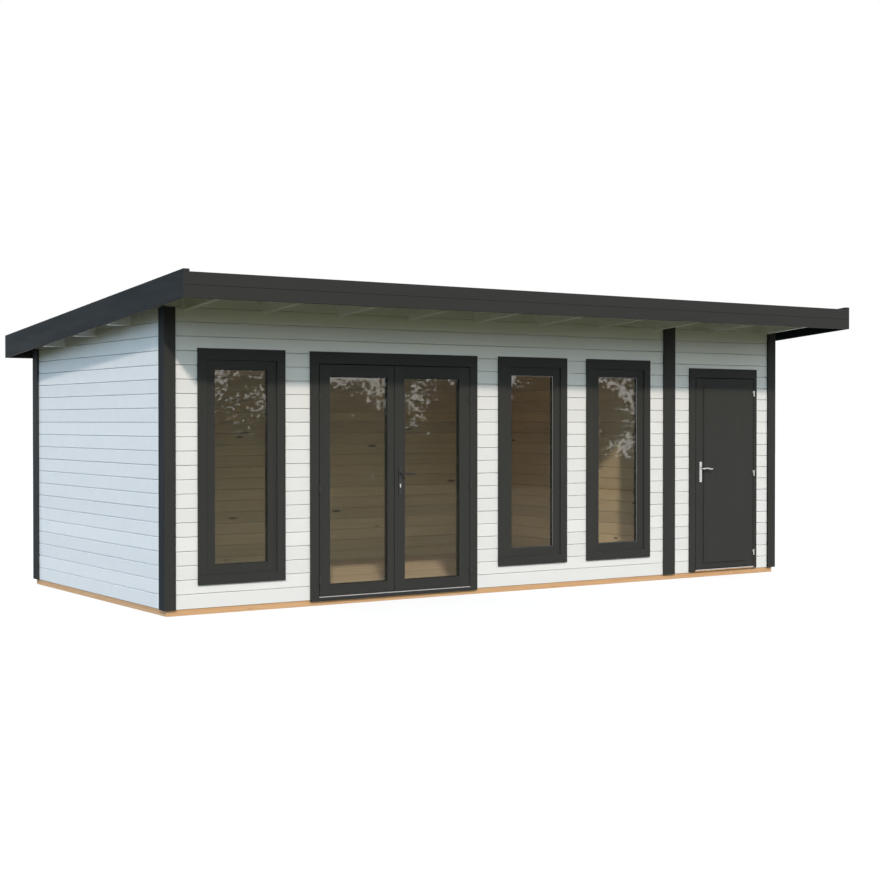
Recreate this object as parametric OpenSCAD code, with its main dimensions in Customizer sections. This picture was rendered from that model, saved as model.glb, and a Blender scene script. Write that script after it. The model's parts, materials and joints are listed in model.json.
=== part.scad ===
// Guest cabin with a main room behind a glazed double door, a storage room with its own door,
// and a single-pitch roof that reaches forward as a canopy. Millimetres, +Z up.
// Origin: on the ground, at the middle of the roof's outline. The front faces -Y.

/* [Walls] */
// Length over the wall faces, left to right
wall_len = 6700; // [6400:10:8200]
// Depth over the wall faces, front to back
wall_dep = 3025; // [2500:5:3700]
// Thickness of the wall boards
wall_t = 44; // [34:1:58]
// Length of the storage room's share of the front, from the right end to the partition's middle
storage_len = 1427; // [1240:5:1640]
// Height of the base beams
base_h = 52; // [40:1:70]
// Width of the base beams
beam_w = 72; // [62:1:100]
// How far the base beams sit back from the wall faces
beam_inset = 8; // [0:1:14]
// Number of floor joists
joists = 10; // [6:1:14]
// Thickness of the floor boards
floor_t = 20; // [18:1:32]

/* [Trims] */
// How far trims and casings stand proud of the wall faces
trim_t = 18; // [12:1:24]
// Width of a corner trim's front board on the wall
corner_front_w = 80; // [60:1:110]
// Width of a right-hand corner trim's front board on the wall
corner_right_w = 88; // [60:1:120]
// Width of a front corner trim's side board on the wall
corner_side_w = 98; // [60:1:120]
// Width of a back corner trim's side board on the wall
corner_back_w = 109; // [100:1:180]
// Width of the trims that cover the partition's board ends
partition_trim_w = 146; // [110:1:170]

/* [Roof] */
// Height of the roof edge's underside at the front
eave_z = 2455; // [2420:5:2700]
// Pitch of the roof, in degrees
roof_pitch = 4.35; // [2:0.05:5.2]
// How far the canopy reaches in front of the wall
canopy = 817; // [500:1:1000]
// How far the roof reaches past the back wall and the side walls
overhang = 216; // [120:1:300]
// Height of the barge boards
barge_h = 213; // [200:1:260]
// Thickness of the barge boards and the fascias
barge_t = 21; // [16:1:28]
// How far the barge boards stand above the fascias
barge_up = 20; // [8:1:24]
// Width of the caps along the roof's sides
cap_w = 52; // [40:1:80]
// Height of the roof boards above the roof edge's underside
deck_under = 165; // [150:1:175]
// Height of the purlins
purlin_h = 173; // [140:1:190]
// Width of the purlins and the rafters
timber_w = 45; // [38:1:60]
// How far the purlins sit forward of even quarters of the depth
purlin_shift = 35; // [0:1:60]
// Height of the canopy rafters
rafter_h = 135; // [110:1:150]
// Number of canopy rafters
rafters = 10; // [7:1:12]
// Distance from a wall's end to the first rafter
rafter_inset = 149; // [125:1:200]
// Thickness of the roof boards
deck_t = 19; // [15:1:21]
// Thickness of the roof covering
covering_t = 6; // [3:1:7]

/* [Windows] */
// Width of a window over its casing
window_w = 784; // [650:1:840]
// Height of a window over its casing
window_h = 1892; // [1560:1:1900]
// Height of a casing's lower edge above the ground
window_z = 236; // [200:1:300]
// Distance from the left end to the first window
first_window_x = 273; // [120:1:300]
// Width of wall between neighbouring windows and doors
pier_w = 235; // [190:1:250]
// Face width of a window casing at its sides
casing_w = 77; // [60:1:95]
// Face width of a window casing at its top
casing_head = 92; // [60:1:100]
// Face width of a window casing at its bottom
casing_foot = 78; // [60:1:100]
// Face width of a sash's left stile
sash_w = 75; // [55:1:90]
// Face width of a sash's right stile
sash_right_w = 83; // [55:1:95]
// Face width of a sash at its top and bottom
sash_rail_w = 78; // [55:1:90]
// How far the sash sits behind the casing's face
sash_recess = 14; // [8:1:20]
// Thickness of a sash
sash_t = 44; // [38:1:50]
// Thickness of the glass panes
pane_t = 24; // [14:1:26]
// How deep a pane or a panel sits in its groove
pane_bite = 10; // [8:1:15]

/* [Double door] */
// Width of the double door over its casing
main_w = 1695; // [1500:1:1710]
// Height of the double door's casing top above the ground
main_top = 2126; // [1950:1:2180]
// Height of the double door's casing bottom above the ground
main_bottom = 40; // [34:1:52]
// Face width of the casing at its sides
main_side = 79; // [70:1:95]
// Face width of the casing at its top
main_head = 100; // [80:1:105]
// Width of the left leaf
left_leaf_w = 730; // [640:1:745]
// Face width of the left leaf's hinge stile, and of the storage leaf's stiles and top rail
stile_w = 98; // [80:1:110]
// Face width of the right leaf's hinge stile
right_stile_w = 112; // [80:1:120]
// Face width of the glazed leaves' bottom rails
bottom_rail_w = 89; // [80:1:110]
// Face width of the left leaf's closing stile
narrow_stile_w = 66; // [60:1:90]
// Face width of the right leaf's lock stile
lock_stile_w = 104; // [96:1:112]
// Face width of the glazed leaves' top rails
top_rail_w = 103; // [80:1:120]

/* [Storage door] */
// Width of the storage door over its casing
store_w = 914; // [800:1:945]
// Height of the storage door's casing top above the ground
store_top = 2066; // [1950:1:2180]
// Height of the storage door's casing bottom above the ground
store_bottom = 58; // [50:1:64]
// Distance from the right end to the storage door's casing
store_end = 248; // [140:1:260]
// Face width of the casing at the lock side
store_lock_side = 76; // [70:1:95]
// Face width of the casing at the hinge side
store_hinge_side = 44; // [44:1:95]
// Face width of the casing at its top
store_head = 92; // [80:1:105]
// Face width of the storage leaf's bottom rail
store_rail_w = 58; // [50:1:110]
// How far the panel sits behind the stiles inside
panel_recess = 8; // [4:1:12]
// How far the panel's field stands in front of the stiles
panel_raise = 8; // [4:1:12]

/* [Leaves and fittings] */
// Thickness of the door leaves
leaf_t = 44; // [38:1:50]
// Clearance round the door leaves
leaf_gap = 7; // [6:1:8]
// Width of the stop that a leaf closes towards
stop_w = 15; // [12:1:20]
// Thickness of a threshold strip above the sill
strip_t = 4; // [4:1:8]
// Radius of a hinge barrel
barrel_r = 7; // [6:0.5:9]
// Height of half a hinge barrel
barrel_h = 29; // [24:1:40]
// Radius of a hinge pin
hinge_pin_r = 3.5; // [3:0.1:4.5]
// Height of the double door's lever above the ground
main_lever_z = 1088; // [950:1:1150]
// Height of the storage door's lever above the ground
store_lever_z = 1077; // [950:1:1150]
// Length of a lever from its axis
lever_len = 128; // [110:1:140]
// Radius of a lever's grip
grip_r = 8; // [6:0.5:10]
// Radius of a lever's neck
neck_r = 8; // [7:0.5:10]
// Clearance between the grip and the back plate
lever_off = 34; // [26:1:45]
// Distance from a leaf's edge to the lever's axis
backset = 55; // [45:1:65]
// Width of a back plate
plate_w = 32; // [30:1:48]
// Thickness of a back plate
plate_t = 8; // [5:1:10]

/* [Hidden] */

white_paint = "#e6e7e0";
dark_paint = "#3b3c3a";
pine = "#d8b483";
impregnated = "#c79a66";
felt = "#2c2d2e";
glass_tint = "#8b8371";
silver = "#c9cacb";
black_steel = "#2a2b2b";
$fn = 48;

// The roof: every roof piece is a band between two planes parallel to the eave plane.
roof_front = -canopy;
roof_back = wall_dep + overhang;
roof_left = -overhang;
roof_right = wall_len + overhang;
function eave_plane(y) = eave_z - (y + canopy) * tan(roof_pitch);
fascia_h = barge_h - barge_up;
roof_seat = 0.1; // clearance that keeps rounded slopes from biting into each other
deck_low = deck_under + roof_seat;
deck_top = deck_low + deck_t;
covering_top = deck_top + covering_t;
purlin_under = deck_under - purlin_h;
rafter_under = deck_under - rafter_h;

// The part frame's origin is under the middle of the roof's outline.
x_shift = -wall_len / 2;
y_shift = -(roof_front + roof_back) / 2;

floor_top = base_h + floor_t;
partition_x = wall_len - storage_len;
wall_lap = 30;

// Front row: window, double door, window, window, then the storage door.
main_x = first_window_x + window_w + pier_w;
second_window_x = main_x + main_w + pier_w;
third_window_x = second_window_x + window_w + pier_w;
window_xs = [first_window_x, second_window_x, third_window_x];
store_x = wall_len - store_end - store_w;
window_top = window_z + window_h;

// Door leaves: their faces are flush with the casings' faces.
leaf_y = -trim_t;
leaf_z = floor_top + strip_t + leaf_gap;
stop_y = leaf_y + leaf_t + leaf_gap;
inner_trim_t = 16;
inner_trim_y = wall_t + inner_trim_t;
left_leaf_x = main_x + main_side + leaf_gap;
meeting_x = left_leaf_x + left_leaf_w;
right_leaf_x = meeting_x + leaf_gap;
right_leaf_w = main_x + main_w - main_side - leaf_gap - right_leaf_x;
main_leaf_h = main_top - main_head - leaf_gap - leaf_z;
store_leaf_x = store_x + store_lock_side + leaf_gap;
store_leaf_w = store_w - store_lock_side - store_hinge_side - 2 * leaf_gap;
store_leaf_h = store_top - store_head - leaf_gap - leaf_z;
store_panel_t = leaf_t - 2 * panel_recess;
main_lever_x = right_leaf_x + backset;
store_lever_x = store_leaf_x + backset;

// Hinges: the barrels stand in front of the gap between leaf and casing.
barrel_y = leaf_y - barrel_r - 1;
barrel_gap = 0.5;
pin_play = 0.1;
root_t = 3;
root_w = 6;
left_axis_x = left_leaf_x - leaf_gap / 2;
right_axis_x = right_leaf_x + right_leaf_w + leaf_gap / 2;
store_axis_x = store_leaf_x + store_leaf_w + leaf_gap / 2;
hinge_up = 134;
main_hinge_down = 280;
store_hinge_down = 145;
function hinge_zs(leaf_h, down) =
    [leaf_z + hinge_up, leaf_z + (leaf_h + hinge_up - down) / 2, leaf_z + leaf_h - down];
main_hinge_zs = hinge_zs(main_leaf_h, main_hinge_down);
store_hinge_zs = hinge_zs(store_leaf_h, store_hinge_down);

// Levers: the necks turn in the back plates, and the spindle passes through the leaf.
neck_play = 0.1;
spindle_r = 5;
spindle_hole_r = 12;
plate_up = 67;
store_plate_down = 135;
main_plate_down = 175;

// ---------- helpers ----------

module in_part_frame() {
    translate([x_shift, y_shift, 0]) children();
}

module block(x0, x1, y0, y1, z0, z1) {
    translate([x0, y0, z0]) cube([x1 - x0, y1 - y0, z1 - z0]);
}

// Extrudes a side profile, given as [y, z] points, from x0 to x1.
module along_x(x0, x1, points) {
    translate([x0, 0, 0]) rotate([90, 0, 90]) linear_extrude(x1 - x0) polygon(points);
}

// A slab between two heights above the eave plane, with upright ends.
module roof_band(x0, x1, y0, y1, low, high) {
    along_x(x0, x1, [[y0, eave_plane(y0) + low], [y1, eave_plane(y1) + low],
                     [y1, eave_plane(y1) + high], [y0, eave_plane(y0) + high]]);
}

// A wall slab from the base beams up to the roof boards.
module wall_slab(x0, x1, y0, y1) {
    along_x(x0, x1, [[y0, base_h], [y1, base_h],
                     [y1, eave_plane(y1) + deck_under], [y0, eave_plane(y0) + deck_under]]);
}

module all_purlins() {
    for (i = [1:3])
        let (y = wall_dep * i / 4 - purlin_shift - timber_w / 2)
            roof_band(roof_left + barge_t, roof_right - barge_t, y, y + timber_w,
                      purlin_under, deck_under);
}

first_purlin_y = wall_dep / 4 - purlin_shift - timber_w / 2;

module all_rafters() {
    pitch = (wall_len - 2 * rafter_inset - timber_w) / (rafters - 1);
    for (i = [0:rafters - 1])
        let (x = rafter_inset + i * pitch)
            roof_band(x, x + timber_w, roof_front + barge_t, first_purlin_y, rafter_under, deck_under);
}

// A ring in the plane of the front wall, from y0 to y1.
module ring(x, z, w, h, side, low, high, y0, y1) {
    difference() {
        block(x, x + w, y0, y1, z, z + h);
        block(x + side, x + w - side, y0 - 1, y1 + 1, z + low, z + h - high);
    }
}

// A glazed frame: stiles and rails round an opening, with a groove that holds the pane.
module glazed_ring(x, z, w, h, left, right, low, high, y0, thick, fill_t = pane_t) {
    difference() {
        block(x, x + w, y0, y0 + thick, z, z + h);
        block(x + left, x + w - right, y0 - 1, y0 + thick + 1, z + low, z + h - high);
        pane(x, z, w, h, left, right, low, high, y0, thick, fill_t);
    }
}

module pane(x, z, w, h, left, right, low, high, y0, thick, fill_t = pane_t) {
    groove_y = y0 + (thick - fill_t) / 2;
    block(x + left - pane_bite, x + w - right + pane_bite, groove_y, groove_y + fill_t,
          z + low - pane_bite, z + h - high + pane_bite);
}

// ---------- base and floor ----------

module base_beams_long() {
    color(impregnated) in_part_frame()
        for (y = [beam_inset, wall_dep - beam_inset - beam_w])
            block(beam_inset, wall_len - beam_inset, y, y + beam_w, 0, base_h);
}

module base_beams_side() {
    color(impregnated) in_part_frame()
        for (x = [beam_inset, wall_len - beam_inset - beam_w])
            block(x, x + beam_w, beam_inset + beam_w, wall_dep - beam_inset - beam_w, 0, base_h);
}

// Joists run front to back, with one of them under the partition.
module floor_joists() {
    bay = (partition_x - beam_inset - beam_w) / (joists - 1);
    xs = [for (i = [1:joists - 1]) beam_inset + beam_w + i * bay, (partition_x + wall_len) / 2];
    color(impregnated) in_part_frame()
        for (x = xs)
            block(x - timber_w / 2, x + timber_w / 2, beam_inset + beam_w,
                  wall_dep - beam_inset - beam_w, 0, base_h);
}

module floor_boards() {
    color(pine) in_part_frame() {
        block(wall_t, partition_x - wall_t / 2, wall_t, wall_dep - wall_t, base_h, floor_top);
        block(partition_x + wall_t / 2, wall_len - wall_t, wall_t, wall_dep - wall_t, base_h, floor_top);
    }
}

// ---------- walls ----------

module front_wall_piece(x0, x1, z0 = 0) {
    difference() {
        wall_slab(x0, x1, 0, wall_t);
        if (z0 > base_h) block(x0 - 1, x1 + 1, -1, wall_t + 1, 0, z0);
        all_rafters();
        for (x = window_xs)
            block(x + wall_lap, x + window_w - wall_lap, -1, wall_t + 1,
                  window_z + wall_lap, window_top - wall_lap);
    }
}

module front_wall_left() {
    color(white_paint) in_part_frame() front_wall_piece(0, main_x + wall_lap);
}

module front_wall_over_main_door() {
    color(white_paint) in_part_frame()
        front_wall_piece(main_x + wall_lap, main_x + main_w - wall_lap, main_top - wall_lap);
}

module front_wall_middle() {
    color(white_paint) in_part_frame()
        front_wall_piece(main_x + main_w - wall_lap, store_x + wall_lap);
}

module front_wall_over_storage_door() {
    color(white_paint) in_part_frame()
        front_wall_piece(store_x + wall_lap, store_x + store_w - wall_lap, store_top - wall_lap);
}

module front_wall_right() {
    color(white_paint) in_part_frame() front_wall_piece(store_x + store_w - wall_lap, wall_len);
}

module back_wall() {
    color(white_paint) in_part_frame() wall_slab(0, wall_len, wall_dep - wall_t, wall_dep);
}

// Side walls and the partition stand between the front and back walls and are cut for the purlins.
module cross_wall(x) {
    difference() {
        wall_slab(x, x + wall_t, wall_t, wall_dep - wall_t);
        all_purlins();
        all_rafters();
    }
}

module left_wall() {
    color(white_paint) in_part_frame() cross_wall(0);
}

module right_wall() {
    color(white_paint) in_part_frame() cross_wall(wall_len - wall_t);
}

module partition_wall() {
    color(pine) in_part_frame() cross_wall(partition_x - wall_t / 2);
}

// ---------- trims ----------

// An L of two boards round a corner at the front left, mirrored for the other corners.
module corner_trim(front_w, side_w, top) {
    difference() {
        block(-trim_t, front_w, -trim_t, side_w, base_h - 2, top);
        block(0, front_w + 1, 0, side_w + 1, 0, top + 1);
    }
}

module corner_trims() {
    trim_above_eave = 58;
    front_top = eave_plane(corner_side_w) + trim_above_eave;
    back_top = eave_plane(wall_dep + trim_t) + trim_above_eave;
    color(dark_paint) in_part_frame() {
        corner_trim(corner_front_w, corner_side_w, front_top);
        translate([wall_len, 0, 0]) mirror([1, 0, 0])
            corner_trim(corner_right_w, corner_side_w, front_top);
        translate([0, wall_dep, 0]) mirror([0, 1, 0])
            corner_trim(corner_front_w, corner_back_w, back_top);
        translate([wall_len, wall_dep, 0]) mirror([0, 1, 0]) mirror([1, 0, 0])
            corner_trim(corner_right_w, corner_back_w, back_top);
    }
}

module partition_trims() {
    x0 = partition_x - partition_trim_w / 2;
    front_top = eave_plane(0) + deck_under - 1;
    back_top = eave_plane(wall_dep + trim_t) + deck_under - 1;
    color(dark_paint) in_part_frame() {
        difference() {
            block(x0, x0 + partition_trim_w, -trim_t, 0, base_h - 2, front_top);
            all_rafters();
        }
        block(x0, x0 + partition_trim_w, wall_dep, wall_dep + trim_t, base_h - 2, back_top);
    }
}

// ---------- roof ----------

module purlins() {
    color(pine) in_part_frame() all_purlins();
}

module canopy_rafters() {
    color(pine) in_part_frame() all_rafters();
}

module roof_deck() {
    color(pine) in_part_frame()
        roof_band(roof_left + barge_t, roof_right - barge_t, roof_front + barge_t,
                  roof_back - barge_t, deck_low, deck_top);
}

module roof_covering() {
    color(felt) in_part_frame()
        roof_band(roof_left + cap_w, roof_right - cap_w, roof_front + barge_t,
                  roof_back - barge_t, deck_top, covering_top);
}

// A board across the slope, level along its length.
module fascia(y0) {
    along_x(roof_left + barge_t, roof_right - barge_t,
            [[y0, eave_plane(y0)], [y0 + barge_t, eave_plane(y0 + barge_t)],
             [y0 + barge_t, eave_plane(y0 + barge_t) + fascia_h], [y0, eave_plane(y0) + fascia_h]]);
}

module front_fascia() {
    color(dark_paint) in_part_frame() fascia(roof_front);
}

module back_fascia() {
    color(dark_paint) in_part_frame() fascia(roof_back - barge_t);
}

module left_barge_board() {
    color(dark_paint) in_part_frame()
        roof_band(roof_left, roof_left + barge_t, roof_front, roof_back, 0, barge_h);
}

module right_barge_board() {
    color(dark_paint) in_part_frame()
        roof_band(roof_right - barge_t, roof_right, roof_front, roof_back, 0, barge_h);
}

// Caps beside the barge boards stand on the roof boards and bridge to the fascias' front faces.
module verge_cap(x0, x1) {
    roof_band(x0, x1, roof_front, roof_front + barge_t, fascia_h, barge_h);
    roof_band(x0, x1, roof_front + barge_t, roof_back - barge_t, deck_top, barge_h);
    roof_band(x0, x1, roof_back - barge_t, roof_back, fascia_h, barge_h);
}

module verge_caps() {
    color(dark_paint) in_part_frame() {
        verge_cap(roof_left + barge_t, roof_left + cap_w);
        verge_cap(roof_right - cap_w, roof_right - barge_t);
    }
}

// ---------- windows ----------

module window_casings() {
    color(dark_paint) in_part_frame()
        for (x = window_xs)
            ring(x, window_z, window_w, window_h, casing_w, casing_foot, casing_head, -trim_t, 0);
}

// The jambs line the wall's cut edge between the outer and the inner casings.
module window_jambs() {
    color(dark_paint) in_part_frame()
        for (x = window_xs)
            ring(x + wall_lap, window_z + wall_lap, window_w - 2 * wall_lap, window_h - 2 * wall_lap,
                 casing_w - wall_lap, casing_foot - wall_lap, casing_head - wall_lap, 0, wall_t);
}

module window_inner_casings() {
    color(dark_paint) in_part_frame()
        for (x = window_xs)
            ring(x, window_z, window_w, window_h, casing_w, casing_foot, casing_head,
                 wall_t, inner_trim_y);
}

sash_y = sash_recess - trim_t;
sash_z = window_z + casing_foot;
sash_total_w = window_w - 2 * casing_w;
sash_h = window_h - casing_foot - casing_head;

module window_sashes() {
    color(dark_paint) in_part_frame()
        for (x = window_xs)
            glazed_ring(x + casing_w, sash_z, sash_total_w, sash_h,
                        sash_w, sash_right_w, sash_rail_w, sash_rail_w, sash_y, sash_t);
}

module window_panes() {
    color(glass_tint) in_part_frame()
        for (x = window_xs)
            pane(x + casing_w, sash_z, sash_total_w, sash_h,
                 sash_w, sash_right_w, sash_rail_w, sash_rail_w, sash_y, sash_t);
}

// ---------- door frames ----------

// An upside-down U from y0 to y1, open at the bottom, with its inner faces at inner_x0 and inner_x1.
module portal(x0, x1, z0, z1, inner_x0, inner_x1, inner_z, y0, y1) {
    difference() {
        block(x0, x1, y0, y1, z0, z1);
        block(inner_x0, inner_x1, y0 - 1, y1 + 1, z0 - 1, inner_z);
    }
}

// Children are made once for each door: $x and $w are its place and width over the casing, $bottom
// and $top the casing's height, $in_x0, $in_x1 and $in_z the clear opening, and $lip_h how far the
// threshold strip hangs over the sill.
module each_door() {
    let ($x = main_x, $w = main_w, $bottom = main_bottom, $top = main_top,
         $in_x0 = main_x + main_side, $in_x1 = main_x + main_w - main_side,
         $in_z = main_top - main_head, $lip_h = 2) children();
    let ($x = store_x, $w = store_w, $bottom = store_bottom, $top = store_top,
         $in_x0 = store_x + store_lock_side, $in_x1 = store_x + store_w - store_hinge_side,
         $in_z = store_top - store_head, $lip_h = 2) children();
}

module door_casings() {
    color(dark_paint) in_part_frame() each_door()
        portal($x, $x + $w, $bottom, $top, $in_x0, $in_x1, $in_z, -trim_t, 0);
}

module door_jambs() {
    color(dark_paint) in_part_frame() each_door()
        portal($x + wall_lap, $x + $w - wall_lap, base_h, $top - wall_lap,
               $in_x0, $in_x1, $in_z, 0, wall_t);
}

module door_inner_casings() {
    color(dark_paint) in_part_frame() each_door()
        portal($x, $x + $w, floor_top, $top, $in_x0, $in_x1, $in_z, wall_t, inner_trim_y);
}

module door_stops() {
    color(dark_paint) in_part_frame() each_door()
        portal($in_x0, $in_x1, floor_top, $in_z, $in_x0 + stop_w, $in_x1 - stop_w,
               $in_z - stop_w, stop_y, inner_trim_y);
}

module sill(x0, x1, bottom) {
    block(x0, x1, beam_inset, wall_t, base_h, floor_top);
    block(x0, x1, -trim_t, beam_inset + 1, max(bottom, base_h), floor_top);
    block(x0, x1, -trim_t, beam_inset - 1, bottom, floor_top);
}

module main_door_sill() {
    color(dark_paint) in_part_frame()
        sill(main_x + main_side, main_x + main_w - main_side, main_bottom);
}

module storage_door_sill() {
    color(impregnated) in_part_frame()
        sill(store_x + store_lock_side, store_x + store_w - store_hinge_side, store_bottom);
}

// A metal strip on the sill, with a lip that hangs over its front edge by lip_h.
module threshold(x0, x1, lip_h) {
    lip_t = 4;
    block(x0, x1, -trim_t - lip_t, stop_y - 2, floor_top, floor_top + strip_t);
    block(x0, x1, -trim_t - lip_t, -trim_t, floor_top - lip_h, floor_top + 1);
}

module threshold_strips() {
    color(silver) in_part_frame() {
        each_door() threshold($in_x0, $in_x1, $lip_h);
    }
}

// ---------- hinges ----------

// The fixed half of a hinge: lower barrel with its pin, and the root that enters the casing.
module hinge_on_frame(x, z, side) {
    translate([x, barrel_y, z - barrel_h]) {
        cylinder(r = barrel_r, h = barrel_h);
        cylinder(r = hinge_pin_r, h = 2 * barrel_h - 4);
    }
    root(x, z - barrel_h, barrel_h, side);
}

// The moving half of a hinge: upper barrel with its bore, and the root that enters the leaf.
module hinge_on_leaf(x, z, side) {
    difference() {
        union() {
            translate([x, barrel_y, z + barrel_gap]) cylinder(r = barrel_r, h = barrel_h);
            root(x, z + barrel_gap, barrel_h, side);
        }
        translate([x, barrel_y, z + barrel_gap - 1])
            cylinder(r = hinge_pin_r + pin_play, h = barrel_h - 2);
    }
}

// The foot of a drill-in hinge: a neck from the barrel to the wood at y = leaf_y, on one side of
// the gap (-1 left, +1 right). Its pins are inside the wood and aren't modelled.
module root(x, z, h, side) {
    near = x + side * (leaf_gap / 2 + 1);
    far = x + side * (leaf_gap / 2 + root_w);
    block(min(near, far), max(near, far), leaf_y - root_t, leaf_y, z, z + h);
    inner = x + side * 2;
    outer = x + side * barrel_r;
    block(min(inner, outer), max(inner, outer), barrel_y, leaf_y - root_t / 2, z, z + h);
}

module main_frame_hinges() {
    color(black_steel) in_part_frame()
        for (z = main_hinge_zs) {
            hinge_on_frame(left_axis_x, z, -1);
            hinge_on_frame(right_axis_x, z, 1);
        }
}

module left_leaf_hinges() {
    color(black_steel) in_part_frame()
        for (z = main_hinge_zs) hinge_on_leaf(left_axis_x, z, 1);
}

module right_leaf_hinges() {
    color(black_steel) in_part_frame()
        for (z = main_hinge_zs) hinge_on_leaf(right_axis_x, z, -1);
}

module storage_frame_hinges() {
    color(silver) in_part_frame()
        for (z = store_hinge_zs) hinge_on_frame(store_axis_x, z, 1);
}

module storage_leaf_hinges() {
    color(silver) in_part_frame()
        for (z = store_hinge_zs) hinge_on_leaf(store_axis_x, z, -1);
}

// ---------- leaves ----------

// A hole through a leaf for the lever's spindle.
module spindle_hole(x, z) {
    translate([x, leaf_y - 1, z]) rotate([-90, 0, 0]) cylinder(r = spindle_hole_r, h = leaf_t + 2);
}

module left_leaf() {
    color(dark_paint) in_part_frame()
        glazed_ring(left_leaf_x, leaf_z, left_leaf_w, main_leaf_h,
                    stile_w, narrow_stile_w, bottom_rail_w, top_rail_w, leaf_y, leaf_t);
}

module left_leaf_pane() {
    color(glass_tint) in_part_frame()
        pane(left_leaf_x, leaf_z, left_leaf_w, main_leaf_h,
             stile_w, narrow_stile_w, bottom_rail_w, top_rail_w, leaf_y, leaf_t);
}

module right_leaf() {
    color(dark_paint) in_part_frame()
        difference() {
            glazed_ring(right_leaf_x, leaf_z, right_leaf_w, main_leaf_h,
                        lock_stile_w, right_stile_w, bottom_rail_w, top_rail_w, leaf_y, leaf_t);
            spindle_hole(main_lever_x, main_lever_z);
        }
}

module right_leaf_pane() {
    color(glass_tint) in_part_frame()
        pane(right_leaf_x, leaf_z, right_leaf_w, main_leaf_h,
             lock_stile_w, right_stile_w, bottom_rail_w, top_rail_w, leaf_y, leaf_t);
}

module storage_leaf() {
    color(dark_paint) in_part_frame()
        difference() {
            glazed_ring(store_leaf_x, leaf_z, store_leaf_w, store_leaf_h,
                        stile_w, stile_w, store_rail_w, stile_w, leaf_y, leaf_t, store_panel_t);
            spindle_hole(store_lever_x, store_lever_z);
        }
}

// The panel's tongue sits in the groove all round, and its field fills the opening and stands out.
module storage_leaf_panel() {
    color(dark_paint) in_part_frame() {
        pane(store_leaf_x, leaf_z, store_leaf_w, store_leaf_h,
             stile_w, stile_w, store_rail_w, stile_w, leaf_y, leaf_t, store_panel_t);
        block(store_leaf_x + stile_w, store_leaf_x + store_leaf_w - stile_w,
              leaf_y - panel_raise, leaf_y + panel_recess + 1,
              leaf_z + store_rail_w, leaf_z + store_leaf_h - stile_w);
    }
}

// ---------- handles ----------

module handle_plate(x, y, z, down) {
    difference() {
        block(x - plate_w / 2, x + plate_w / 2, y, y + plate_t, z - down, z + plate_up);
        translate([x, y - 1, z]) rotate([-90, 0, 0])
            cylinder(r = neck_r + neck_play, h = plate_t + 2);
    }
}

module handle_plates(x, z, down) {
    handle_plate(x, leaf_y - plate_t, z, down);
    handle_plate(x, leaf_y + leaf_t, z, down);
}

module main_handle_plates() {
    color(black_steel) in_part_frame() handle_plates(main_lever_x, main_lever_z, main_plate_down);
}

module storage_handle_plates() {
    color(silver) in_part_frame() handle_plates(store_lever_x, store_lever_z, store_plate_down);
}

// Both grips, their necks and the spindle between them turn as one.
module lever(x, z) {
    reach = plate_t + lever_off + grip_r;
    outer_y = leaf_y - reach;
    inner_y = leaf_y + leaf_t + reach;
    translate([x, outer_y, z]) rotate([-90, 0, 0]) cylinder(r = neck_r, h = reach);
    translate([x, leaf_y + leaf_t, z]) rotate([-90, 0, 0]) cylinder(r = neck_r, h = reach);
    translate([x, leaf_y - 1, z]) rotate([-90, 0, 0]) cylinder(r = spindle_r, h = leaf_t + 2);
    for (y = [outer_y, inner_y])
        translate([x, y, z]) {
            sphere(r = grip_r);
            rotate([0, 90, 0]) cylinder(r = grip_r, h = lever_len - grip_r);
            translate([lever_len - grip_r, 0, 0]) sphere(r = grip_r);
        }
}

module main_lever() {
    color(black_steel) in_part_frame() lever(main_lever_x, main_lever_z);
}

module storage_lever() {
    color(silver) in_part_frame() lever(store_lever_x, store_lever_z);
}

base_beams_long();
base_beams_side();
floor_joists();
floor_boards();
front_wall_left();
front_wall_over_main_door();
front_wall_middle();
front_wall_over_storage_door();
front_wall_right();
back_wall();
left_wall();
right_wall();
partition_wall();
corner_trims();
partition_trims();
purlins();
canopy_rafters();
roof_deck();
roof_covering();
front_fascia();
back_fascia();
left_barge_board();
right_barge_board();
verge_caps();
window_casings();
window_jambs();
window_inner_casings();
window_sashes();
window_panes();
door_casings();
door_jambs();
door_inner_casings();
door_stops();
main_door_sill();
storage_door_sill();
threshold_strips();
left_leaf();
left_leaf_pane();
left_leaf_hinges();
right_leaf();
right_leaf_pane();
right_leaf_hinges();
main_handle_plates();
main_lever();
storage_leaf();
storage_leaf_panel();
storage_leaf_hinges();
storage_handle_plates();
storage_lever();
main_frame_hinges();
storage_frame_hinges();
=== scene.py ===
# %% [markdown]
# # A board-walled guest cabin
# The real cabin is made of solid wall boards laid in courses, painted white outside and left as
# bare pine inside, with dark trims, glazed doors, tall windows and a roof that reaches forward as
# a canopy. The frame from the CAD model gives every place and size. This script adds the looks:
# board joints, eased edges, glass, fittings and finishes.

# %% Load the frame
import json
import math

import bmesh
import bpy
from mathutils import Matrix, Vector


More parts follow.
